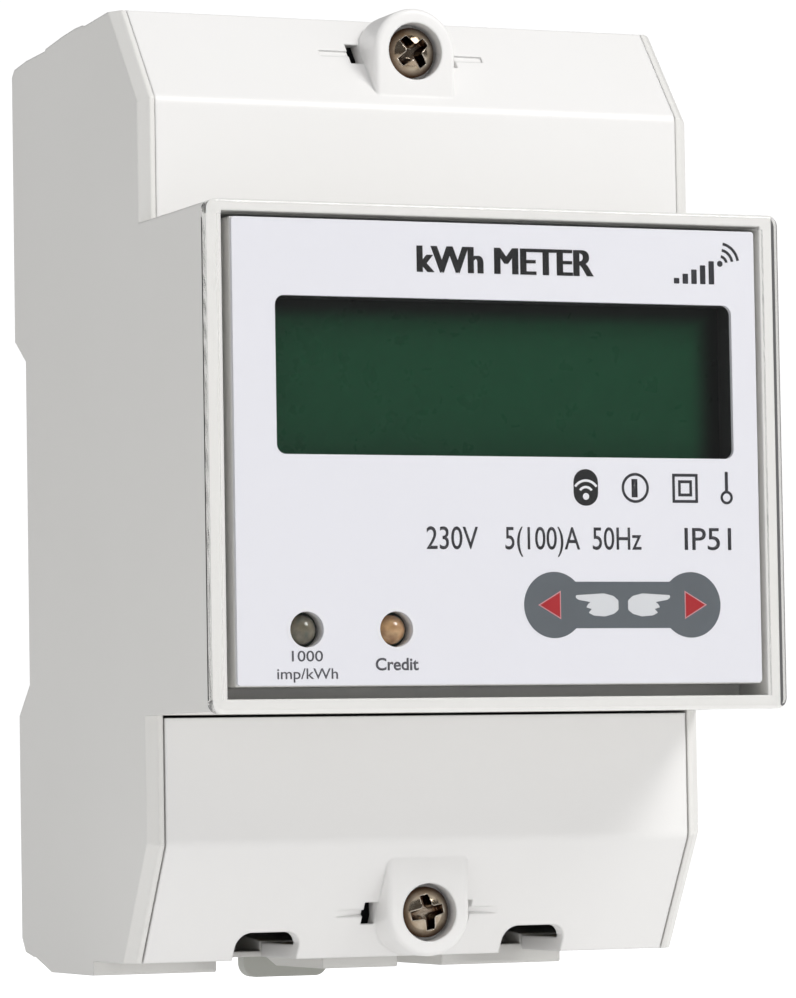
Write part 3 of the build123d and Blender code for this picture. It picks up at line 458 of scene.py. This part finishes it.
finishes["wire_black"] = finish(
    "wire_black", srgb(34, 34, 36), srgb(24, 24, 26), 0.45, grain=1400.0, depth=0.02, streak=0.2, corner=0.0001,
)
print("finishes so far:", len(finishes))

# %% [markdown]
# ## Metals
# Metal is told apart by tone and by how its surface was made. Rolled copper and brass carry long faint lines,
# spring wire is drawn and bright, zinc plate is grey and slightly cloudy, and the cover screws' nickel gets
# painted shade, a dark brown laid into its recess. Metallic stays at 1, and roughness does the telling.

# %% Metals
finishes["brass"] = finish(
    "brass", srgb(222, 190, 112), srgb(198, 160, 86), 0.26, grain=900.0, depth=0.012, streak=0.08, contrast=1.8,
    corner=0.00025, wear=srgb(242, 220, 158), dust=0.05, metallic=1.0, spread=0.1,
)
finishes["copper"] = finish(
    "copper", srgb(216, 146, 108), srgb(184, 112, 78), 0.3, grain=1100.0, depth=0.012, streak=0.06, contrast=2.0,
    corner=0.0002, wear=srgb(238, 184, 152), dust=0.05, metallic=1.0, spread=0.12,
)
finishes["nickel_screw"] = finish(
    "nickel_screw", srgb(214, 203, 186), srgb(150, 128, 102), 0.2, grain=1500.0, depth=0.015, drift=420.0,
    contrast=2.2, corner=0.00022, wear=srgb(238, 232, 222), wear_reach=0.0003, dust=0.0, metallic=1.0,
    spread=0.1,
)
finishes["zinc_screw"] = finish(
    "zinc_screw", srgb(196, 199, 204), srgb(168, 172, 178), 0.3, grain=1600.0, depth=0.012, drift=300.0,
    contrast=1.8, corner=0.0002, wear=srgb(226, 228, 232), dust=0.05, metallic=1.0, spread=0.1,
)
finishes["spring_steel"] = finish(
    "spring_steel", srgb(184, 186, 190), srgb(150, 152, 158), 0.22, grain=2500.0, depth=0.006, streak=0.1,
    corner=0.00008, dust=0.0, metallic=1.0, spread=0.08,
)
finishes["tinned_metal"] = finish(
    "tinned_metal", srgb(204, 206, 208), srgb(178, 181, 185), 0.34, grain=420.0, depth=0.02, drift=120.0,
    contrast=2.0, corner=0.00025, wear=srgb(226, 228, 230), dust=0.1, metallic=1.0, spread=0.12,
)
finishes["foil"] = finish(
    "foil", srgb(206, 150, 62), srgb(186, 128, 46), 0.35, grain=500.0, depth=0.02, contrast=1.6, corner=0.0001,
)

# %% Painted shade in the cover screws' recesses
screw_tree = finishes["nickel_screw"].node_tree
recess_occlusion = screw_tree.nodes.new("ShaderNodeAmbientOcclusion")
recess_occlusion.inputs["Distance"].default_value = 0.0016
recess_occlusion.samples = 8
painted_recess_shade = screw_tree.nodes.new("ShaderNodeMapRange")
painted_recess_shade.inputs["From Min"].default_value = 0.8
painted_recess_shade.inputs["From Max"].default_value = 0.25
wire(screw_tree, recess_occlusion, "AO", painted_recess_shade, "Value")
# Painted shade: dark brown is laid over the nickel where ambient occlusion finds the recess.
lay_over(finishes["nickel_screw"], srgb(74, 46, 26), painted_recess_shade, "Result")
print("metals added:", len(finishes))

# %% [markdown]
# ## Printed circuit board
# A board is glass weave under green solder mask, with copper tracks showing through as a paler green, and
# bright tinned pads. Blocks of brick texture turned into straight runs give tracks, and the shared fine grain
# stands for the weave. Real routing would take thousands of strokes that nobody can follow inside the case.

# %% Printed circuit board
board = finish(
    "board_green", srgb(22, 92, 52), srgb(15, 72, 40), 0.32, grain=2200.0, depth=0.012, contrast=1.6,
    corner=0.0001, wear=srgb(150, 160, 110), wear_reach=0.0002, dust=0.2,
)
board_tree = board.node_tree
board_place = board_tree.nodes.new("ShaderNodeTexCoord")
upright = board_tree.nodes.new("ShaderNodeMapping")
upright.inputs["Rotation"].default_value = (math.radians(90), 0, 0)
tracks = board_tree.nodes.new("ShaderNodeTexBrick")
tracks.inputs["Scale"].default_value = 130.0
tracks.inputs["Mortar Size"].default_value = 0.035
tracks.inputs["Brick Width"].default_value = 0.9
tracks.inputs["Row Height"].default_value = 0.21
tracks.inputs["Color1"].default_value = (0, 0, 0, 1)
tracks.inputs["Color2"].default_value = (0, 0, 0, 1)
tracks.inputs["Mortar"].default_value = (1, 1, 1, 1)
wire(board_tree, board_place, "Object", upright, "Vector")
wire(board_tree, upright, "Vector", tracks, "Vector")
lay_over(board, srgb(54, 128, 70), tracks, "Color")
finishes["board_green"] = board
print("board finish made")


# %% [markdown]
# ## Clear and tinted plastics
# The front cover is polished clear polycarbonate. A true glass shader is right for what the eye sees, but it
# would block the light that should reach the nameplate, so shadow and diffuse rays pass straight through. The
# lamps' lenses are cloudy, so they scatter under the surface and keep a smooth, wet-looking skin. The display
# glass gets painted shade: dark bands along the top and right edges of its window, where the frame shades it.

# %% Clear cover
def clear_finish(name, tint, roughness, ior):
    """A see-through plastic that lets light rays pass to what is behind it."""
    material = bpy.data.materials.new(name)
    material.use_nodes = True
    tree = material.node_tree
    shader = tree.nodes["Principled BSDF"]
    shader.inputs["Base Color"].default_value = tint
    shader.inputs["Transmission Weight"].default_value = 1.0
    shader.inputs["IOR"].default_value = ior
    place = tree.nodes.new("ShaderNodeTexCoord")
    scuffs = tree.nodes.new("ShaderNodeGroup")
    scuffs.node_tree = drift_group
    scuffs.inputs["Scale"].default_value = 60.0
    scuffs.inputs["Contrast"].default_value = 2.0
    wire(tree, place, "Object", scuffs, "Place")
    gloss = tree.nodes.new("ShaderNodeMapRange")
    gloss.inputs["To Min"].default_value = roughness
    gloss.inputs["To Max"].default_value = roughness + 0.008
    wire(tree, scuffs, "Value", gloss, "Value")
    wire(tree, gloss, "Result", shader, "Roughness")
    light_ray = tree.nodes.new("ShaderNodeLightPath")
    passing = number(tree, "MAXIMUM", (light_ray, "Is Shadow Ray"), (light_ray, "Is Diffuse Ray"))
    open_way = tree.nodes.new("ShaderNodeBsdfTransparent")
    choice = tree.nodes.new("ShaderNodeMixShader")
    output = tree.nodes["Material Output"]
    wire(tree, passing, "Value", choice, "Fac")
    tree.links.new(shader.outputs["BSDF"], choice.inputs[1])
    tree.links.new(open_way.outputs["BSDF"], choice.inputs[2])
    tree.links.new(choice.outputs["Shader"], output.inputs["Surface"])
    return material


finishes["clear_plastic"] = clear_finish("clear_plastic", (0.985, 0.985, 0.99, 1), 0.0, 1.49)

# %% Nameplate film, display glass and lamp lenses
finishes["nameplate_print"] = finish(
    "nameplate_print", srgb(238, 238, 243), srgb(234, 234, 240), 0.34, grain=5200.0, depth=0.003, contrast=0.7,
    corner=0.0001, dust=0.0,
)
finishes["lcd_green"] = finish(
    "lcd_green", srgb(18, 66, 42), srgb(14, 58, 36), 0.3, grain=400.0, depth=0.0002, drift=12.0, contrast=0.5,
    corner=0.0001, dust=0.0, sheen_spec=0.15,
)
finishes["lamp_red"] = finish(
    "lamp_red", srgb(128, 118, 98), srgb(74, 76, 62), 0.2, grain=900.0, depth=0.01, drift=700.0, contrast=2.6,
    corner=0.0001, dust=0.0,
)
finishes["lamp_amber"] = finish(
    "lamp_amber", srgb(196, 158, 112), srgb(128, 92, 58), 0.2, grain=900.0, depth=0.01, drift=700.0,
    contrast=2.6, corner=0.0001, dust=0.0,
)
lcd_tree = finishes["lcd_green"].node_tree
lcd_place = lcd_tree.nodes.new("ShaderNodeTexCoord")
lcd_parts = lcd_tree.nodes.new("ShaderNodeSeparateXYZ")
wire(lcd_tree, lcd_place, "Object", lcd_parts, "Vector")
# Painted shade: the display is darkened along the top and right edges of its window, where the frame shades it.
window_top, window_right = 0.0194, 0.0318
top_shade_reach, right_shade_reach = 0.0030, 0.0042
painted_shade_bands = []
for axis, edge, reach in (("Z", window_top, top_shade_reach), ("X", window_right, right_shade_reach)):
    band = lcd_tree.nodes.new("ShaderNodeMapRange")
    band.interpolation_type = "SMOOTHSTEP"
    band.inputs["From Min"].default_value = edge - reach
    band.inputs["From Max"].default_value = edge - 0.0005
    wire(lcd_tree, lcd_parts, axis, band, "Value")
    painted_shade_bands.append(band)
painted_shade_mask = number(lcd_tree, "MAXIMUM", (painted_shade_bands[0], "Result"), (painted_shade_bands[1], "Result"))
lay_over(finishes["lcd_green"], srgb(6, 14, 11), painted_shade_mask, "Value")
for lens_name in ("lamp_red", "lamp_amber"):
    lens_shader = finishes[lens_name].node_tree.nodes["Principled BSDF"]
    lens_shader.inputs["Subsurface Weight"].default_value = 0.35
    lens_shader.inputs["Subsurface Radius"].default_value = (0.002, 0.001, 0.0006)
    lens_shader.inputs["Coat Weight"].default_value = 0.6

# %% Give every part its finish, by the material slot named in the record
slot_of = {part["node"]: part["material_slot"] for part in frame["record"]["subparts"]}
for node_name, part in nodes.items():
    part.data.materials.clear()
    part.data.materials.append(finishes[slot_of[node_name]])
print("parts with a finish:", len(slot_of), "finishes:", len(finishes))

# %% [markdown]
# ## Printing on the nameplate
# The nameplate is a printed film. Its symbols are modelled as skins a few hundredths of a millimetre thick,
# just in front of the film and behind the clear cover, so they stay crisp at any zoom. Painting them in a
# texture would need an image. All of them are flat shapes added upright, facing the front.

# %% Ink finishes
inks = {
    "ink_black": (srgb(10, 10, 12), srgb(18, 18, 20)),
    "ink_soft_black": (srgb(34, 34, 40), srgb(44, 44, 50)),
    "ink_caption": (srgb(78, 78, 84), srgb(88, 88, 94)),
    "ink_grey": (srgb(90, 96, 101), srgb(95, 101, 106)),
    "ink_red": (srgb(176, 14, 26), srgb(164, 12, 22)),
    "ink_pink": (srgb(206, 150, 154), srgb(196, 140, 146)),
    "ink_pale": (srgb(219, 221, 223), srgb(213, 215, 218)),
    "ink_white": (srgb(240, 240, 243), srgb(236, 236, 240)),
}
for ink_name, (tone, shade) in inks.items():
    finishes[ink_name] = finish(
        ink_name, tone, shade, 0.4, grain=5200.0, depth=0.003, drift=160.0, contrast=1.4, corner=0.00003, dust=0.0,
    )
plate_low, plate_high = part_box("nameplate")
plate_face = plate_low.y
print("nameplate face at y", round(plate_face, 5), "x", round(plate_low.x, 4), round(plate_high.x, 4))


# %% Flat shapes that face the front
def start_clean():
    """Leaves edit mode and deselects everything."""
    if bpy.context.object is not None and bpy.context.object.mode != "OBJECT":
        bpy.ops.object.mode_set(mode="OBJECT")
    bpy.ops.object.select_all(action="DESELECT")


def apply_place(piece):
    """Puts a piece's place, turn and size into its mesh."""
    start_clean()
    piece.select_set(True)
    bpy.context.view_layer.objects.active = piece
    bpy.ops.object.transform_apply(location=True, rotation=True, scale=True)
    return piece


def tile(x, z, width, height, corner=0.0, lean=0.0):
    """A flat rectangle in millimetres, its corners rounded, turned by lean degrees."""
    start_clean()
    bpy.ops.mesh.primitive_plane_add(size=1.0, location=(0, 0, 0))
    piece = bpy.context.object
    piece.scale = (width * MM, height * MM, 1)
    apply_place(piece)
    if corner > 0:
        bpy.ops.object.mode_set(mode="EDIT")
        bpy.ops.mesh.select_all(action="SELECT")
        bpy.ops.mesh.bevel(offset=corner * MM, segments=6, affect="VERTICES")
        bpy.ops.object.mode_set(mode="OBJECT")
    piece.rotation_euler = (math.radians(90), math.radians(lean), 0)
    piece.location = (x * MM, plate_face, z * MM)
    return apply_place(piece)


def disc(x, z, radius, sides=56, turn=0.0):
    """A flat disc, or a regular polygon when it has few sides."""
    start_clean()
    bpy.ops.mesh.primitive_circle_add(vertices=sides, radius=radius * MM, fill_type="NGON", location=(0, 0, 0))
    piece = bpy.context.object
    piece.rotation_euler = (math.radians(90), math.radians(turn), 0)
    piece.location = (x * MM, plate_face, z * MM)
    return apply_place(piece)


def outline(points, x, z, corner):
    """A flat shape through points in millimetres round (x, z), with its corners softened."""
    piece = disc(0.0, 0.0, 1.0, len(points))
    for vertex, (across, up) in zip(piece.data.vertices, points):
        vertex.co = ((x + across) * MM, plate_face, (z + up) * MM)
    start_clean()
    piece.select_set(True)
    bpy.context.view_layer.objects.active = piece
    bpy.ops.object.mode_set(mode="EDIT")
    bpy.ops.mesh.select_all(action="SELECT")
    bpy.ops.mesh.bevel(offset=corner * MM, segments=4, affect="VERTICES")
    bpy.ops.object.mode_set(mode="OBJECT")
    return piece


def hollow(piece, width):
    """Turns a flat shape into an outline of the given width."""
    start_clean()
    piece.select_set(True)
    bpy.context.view_layer.objects.active = piece
    bpy.ops.object.mode_set(mode="EDIT")
    bpy.ops.mesh.select_all(action="SELECT")
    bpy.ops.mesh.inset(thickness=width * MM)
    bpy.ops.mesh.delete(type="FACE")
    bpy.ops.object.mode_set(mode="OBJECT")
    return piece


def keep_between(piece, low, high):
    """Keeps the part of a flat ring whose direction from its centre lies between two angles."""
    centre = sum((vertex.co for vertex in piece.data.vertices), Vector()) / len(piece.data.vertices)
    start_clean()
    piece.select_set(True)
    bpy.context.view_layer.objects.active = piece
    bpy.ops.object.mode_set(mode="EDIT")
    bpy.ops.mesh.select_all(action="DESELECT")
    bpy.ops.object.mode_set(mode="OBJECT")
    for face in piece.data.polygons:
        offset = face.center - centre
        angle = math.degrees(math.atan2(offset.z, offset.x))
        face.select = not low <= angle <= high
    bpy.ops.object.mode_set(mode="EDIT")
    bpy.ops.mesh.delete(type="FACE")
    bpy.ops.object.mode_set(mode="OBJECT")
    return piece


# %% [markdown]
# Lettering starts as a text object, is turned into a mesh while it still lies flat, and is then scaled so that
# its capitals have the printed height and the line has the printed width. A large curve offset tears sharp
# corners, so the bold title is printed three times with a small shift, and only small lines use a slight offset.

# %% Lettering
def words(text, x, z, cap_height, width, bold=0.0):
    """A line of generic text whose capitals stand on height z, centred on x, in millimetres."""
    start_clean()
    heights = []
    for body in ("H", text):
        bpy.ops.object.text_add(location=(0, 0, 0))
        piece = bpy.context.object
        piece.data.body = body
        piece.data.offset = bold
        piece.data.resolution_u = 6
        bpy.ops.object.convert(target="MESH")
        piece = bpy.context.object
        heights.append(max(v.co.y for v in piece.data.vertices))
        if body == "H":
            bpy.data.objects.remove(piece, do_unlink=True)
    left = min(v.co.x for v in piece.data.vertices)
    right = max(v.co.x for v in piece.data.vertices)
    for vertex in piece.data.vertices:
        vertex.co.x -= (left + right) / 2
    piece.scale = (width * MM / (right - left), cap_height * MM / heights[0], 1)
    piece.rotation_euler = (math.radians(90), 0, 0)
    piece.location = (x * MM, plate_face, z * MM)
    return apply_place(piece)


def one_outline(pieces):
    """Welds overlapping flat shapes into one, by joining thick copies, and keeps the front face."""
    for piece in pieces:
        thick = piece.modifiers.new("thick", "SOLIDIFY")
        thick.thickness = 0.001
        start_clean()
        piece.select_set(True)
        bpy.context.view_layer.objects.active = piece
        bpy.ops.object.modifier_apply(modifier=thick.name)
    whole = pieces[0]
    for piece in pieces[1:]:
        weld = whole.modifiers.new("weld", "BOOLEAN")
        weld.operation = "UNION"
        weld.solver = "EXACT"
        weld.object = piece
        start_clean()
        whole.select_set(True)
        bpy.context.view_layer.objects.active = whole
        bpy.ops.object.modifier_apply(modifier=weld.name)
        bpy.data.objects.remove(piece, do_unlink=True)
    start_clean()
    whole.select_set(True)
    bpy.context.view_layer.objects.active = whole
    bpy.ops.object.mode_set(mode="EDIT")
    bpy.ops.mesh.select_all(action="DESELECT")
    bpy.ops.object.mode_set(mode="OBJECT")
    front = min(vertex.co.y for vertex in whole.data.vertices)
    for face in whole.data.polygons:
        face.select = abs(face.normal.y + 1) > 0.01 or abs(face.center.y - front) > 0.00005
    bpy.ops.object.mode_set(mode="EDIT")
    bpy.ops.mesh.delete(type="FACE")
    bpy.ops.object.mode_set(mode="OBJECT")
    for vertex in whole.data.vertices:
        vertex.co.y = plate_face
    return whole


def print_on_plate(name, pieces, ink, layer=1):
    """Joins flat shapes into one skin over the film; a higher layer lies on a lower one."""
    start_clean()
    for piece in pieces:
        piece.select_set(True)
    bpy.context.view_layer.objects.active = pieces[0]
    if len(pieces) > 1:
        bpy.ops.object.join()
    skin = bpy.context.view_layer.objects.active
    skin.name = name
    skin.data.name = name
    skin.location = (0, -0.00002 * layer, 0)
    apply_place(skin)
    thickness = skin.modifiers.new("ink", "SOLIDIFY")
    thickness.thickness = 0.000018
    thickness.offset = -1.0
    bpy.ops.object.modifier_apply(modifier=thickness.name)
    skin.data.materials.clear()
    skin.data.materials.append(finishes[ink])
    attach(skin, "meter_case")
    print(name, len(skin.data.polygons), "faces")
    return skin


# %% Title and rating line
for layer, shift in ((1, -0.2), (2, 0.0), (3, 0.2)):
    print_on_plate(f"title_print_{layer}", [words("kWh METER", 1.3 + shift, 22.6, 3.2, 23.2)], "ink_black", layer)
print_on_plate(
    "rating_print",
    [
        words("230V", -6.4, -11.0, 2.7, 6.8, bold=0.004), words("5(100)A", 5.6, -11.0, 2.7, 10.0, bold=0.004),
        words("50Hz", 15.6, -11.0, 2.7, 6.6, bold=0.004), words("IP51", 28.0, -11.0, 2.7, 6.4, bold=0.004),
    ],
    "ink_soft_black",
)

# %% [markdown]
# ## Small symbols
# Signal bars with waves, a dark pill with a wireless mark of its own, a ringed figure for the tariff, the double
# square of double insulation, and a probe: all built from tiles, discs and rings.

# %% Small symbols
bars = []
for step in range(5):
    bar_height = 0.7 + 0.55 * step
    bars.append(tile(24.4 + 1.2 * step, 22.0 + bar_height / 2, 0.75, bar_height, 0.1))
waves = [keep_between(hollow(disc(30.4, 24.6, radius, 72), 0.36), 10.0, 80.0) for radius in (1.1, 1.9, 2.7)]
print_on_plate("signal_print", [*bars, *waves, disc(30.4, 24.6, 0.38)], "ink_soft_black")

print_on_plate("wireless_pill_print", [tile(11.5, -3.4, 3.3, 4.5, 1.6)], "ink_black")
pill_waves = [keep_between(hollow(disc(11.5, -4.3, radius, 72), 0.3), 35.0, 145.0) for radius in (1.1, 1.9)]
print_on_plate("wireless_mark_print", [*pill_waves, disc(11.5, -4.5, 0.42)], "ink_white", layer=2)

print_on_plate(
    "tariff_print", [hollow(disc(18.2, -3.4, 1.85), 0.34), words("1", 18.1, -4.5, 2.2, 0.8, bold=0.02)],
    "ink_soft_black",
)
print_on_plate(
    "double_square_print", [hollow(tile(25.0, -3.4, 3.5, 3.6), 0.36), hollow(tile(25.0, -3.4, 1.9, 2.0), 0.36)],
    "ink_soft_black",
)
print_on_plate(
    "probe_print", [tile(30.7, -2.5, 0.42, 2.4, 0.1), hollow(disc(30.7, -4.5, 0.85), 0.34)], "ink_soft_black",
)

# %% [markdown]
# ## Touch key
# Below the display is a capacitive key: a grey dumbbell with a red arrow at each end and a hand pointing at
# each arrow. The two round ends lie over the touch springs inside. The hands are drawn as one outline each, a
# cuff, a palm with curled fingers and one straight finger, because shapes laid over each other look like tools.

# %% Touch key
key_z = -17.8
print_on_plate(
    "touch_key_print",
    [one_outline([disc(7.0, key_z, 4.05, 72), disc(25.5, key_z, 4.05, 72), tile(16.25, key_z, 16.0, 5.7)])],
    "ink_grey",
)
arrows = []
arrow_edges = []
for direction, tip_x in ((-1, 5.1), (1, 27.4)):
    for size, store in ((1.0, arrows), (1.16, arrow_edges)):
        arrow = disc(tip_x - direction * 1.75, key_z, 1.75 * size, 3, turn=90.0 * direction)
        store.append(arrow)
print_on_plate("arrow_edge_print", arrow_edges, "ink_pink", layer=2)
print_on_plate("arrow_print", arrows, "ink_red", layer=3)

# %% Pointing hands
hand = [
    (-2.85, 1.2), (-0.7, 1.32), (0.9, 1.42), (2.2, 1.1), (2.85, 0.55), (2.85, -0.6), (2.2, -1.1), (1.0, -1.42),
    (-0.5, -1.3), (-1.2, -0.95), (-0.75, -0.5), (-1.5, -0.3), (-1.25, 0.1), (-0.9, 0.35), (-2.5, 0.62),
    (-2.9, 0.9),
]
mirrored = [(-across, up) for across, up in reversed(hand)]
hands = [outline(hand, 12.75, key_z, 0.12), outline(mirrored, 19.75, key_z, 0.12)]
print_on_plate("hands_print", hands, "ink_pale", layer=2)

# %% [markdown]
# ## Lamp surrounds and captions
# The two lamps look out through holes in the film. Each hole has a thin pale ring, and the captions below say
# what the lamp counts.

# %% Lamp surrounds and captions
lamp_x = [(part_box(name)[0].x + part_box(name)[1].x) / 2 / MM for name in ("pulse_led", "credit_led")]
lamp_z = (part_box("pulse_led")[0].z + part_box("pulse_led")[1].z) / 2 / MM
print_on_plate("lamp_ring_print", [hollow(disc(x, lamp_z, 2.55), 0.38) for x in lamp_x], "ink_white")
print_on_plate(
    "caption_print",
    [
        words("1000", lamp_x[0], -24.5, 1.25, 4.0, bold=0.006),
        words("imp/kWh", lamp_x[0], -26.6, 1.25, 7.8, bold=0.006),
        words("Credit", lamp_x[1], -25.6, 1.45, 5.6, bold=0.02),
    ],
    "ink_caption",
)

# %% [markdown]
# ## Latch spring
# The latch is held up by a small compression spring that stands on a post of the rear cover. Pulling the latch
# down squeezes it. It is wound afresh here from one wire section turned up a screw path, which keeps its coils
# even. It stands on the frame spring's foot, and the frame's own spring is hidden.

# %% Latch spring
spring_low, spring_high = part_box("latch_spring")
latch_travel = 0.005
spring_wire = 0.00022
spring_turns = 9
coil_radius = (spring_high.x - spring_low.x) / 2 - spring_wire
spring_length = spring_high.z - spring_low.z
spring_foot = ((spring_low.x + spring_high.x) / 2, (spring_low.y + spring_high.y) / 2, spring_low.z)
start_clean()
bpy.ops.mesh.primitive_circle_add(
    vertices=14, radius=spring_wire, location=(coil_radius, 0, 0), rotation=(math.radians(90), 0, 0),
)
spring = apply_place(bpy.context.object)
wind = spring.modifiers.new("wind", "SCREW")
wind.axis = "Z"
wind.iterations = spring_turns
wind.screw_offset = (spring_length - 2 * spring_wire) / spring_turns
wind.steps = 32
wind.render_steps = 32
bpy.ops.object.modifier_apply(modifier=wind.name)
bpy.ops.object.mode_set(mode="EDIT")
bpy.ops.mesh.select_all(action="SELECT")
bpy.ops.mesh.fill_holes(sides=0)
bpy.ops.mesh.normals_make_consistent(inside=False)
bpy.ops.mesh.faces_shade_smooth()
bpy.ops.object.mode_set(mode="OBJECT")
spring.location = (spring_foot[0], spring_foot[1], spring_foot[2] + spring_wire)
apply_place(spring)
spring.name = "wound_latch_spring"
spring.data.name = spring.name
spring.data.materials.append(finishes["spring_steel"])
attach(spring, "meter_case")
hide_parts("latch_spring")
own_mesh(spring)
print("spring length", round(spring_length, 5), "faces", len(spring.data.polygons))

# %% [markdown]
# ## Studio floor
# The meter hangs on a rail, so the pale floor lies below its latch by as much as the latch is pulled. It glows for
# the eye, as an overexposed paper sweep does, which keeps it white out to the horizon, and a little for everything
# else, as a light table does, so that the faces turned down aren't left in shade.

# %% Studio floor
start_clean()
floor_height = cad_box[0].z - latch_travel - 0.0002
bpy.ops.mesh.primitive_plane_add(size=6.0, location=(0, 0, floor_height))
floor = bpy.context.object
floor.name = "studio_floor"
paper = bpy.data.materials.new("studio_paper")
paper.use_nodes = True
paper_tree = paper.node_tree
paper_shader = paper_tree.nodes["Principled BSDF"]
paper_shader.inputs["Roughness"].default_value = 0.9
paper_shader.inputs["Emission Color"].default_value = (1.0, 1.0, 1.0, 1)
eye_only = paper_tree.nodes.new("ShaderNodeLightPath")
eye_glow = number(paper_tree, "MULTIPLY", (eye_only, "Is Camera Ray"), 0.5)
glow = number(paper_tree, "ADD", (eye_glow, "Value"), 0.22)
wire(paper_tree, glow, "Value", paper_shader, "Emission Strength")
paper_place = paper_tree.nodes.new("ShaderNodeTexCoord")
fibre = paper_tree.nodes.new("ShaderNodeTexNoise")
fibre.inputs["Scale"].default_value = 900.0
fibre_tone = paper_tree.nodes.new("ShaderNodeMix")
fibre_tone.data_type = "RGBA"
fibre_tone.inputs["A"].default_value = (0.78, 0.78, 0.78, 1)
fibre_tone.inputs["B"].default_value = (0.82, 0.82, 0.82, 1)
wire(paper_tree, paper_place, "Object", fibre, "Vector")
wire(paper_tree, fibre, "Fac", fibre_tone, "Factor")
paper_tree.links.new(fibre_tone.outputs["Result"], paper_shader.inputs["Base Color"])
floor.data.materials.append(paper)
print("floor at z", round(floor_height, 4))

# %% Clear the selection
start_clean()
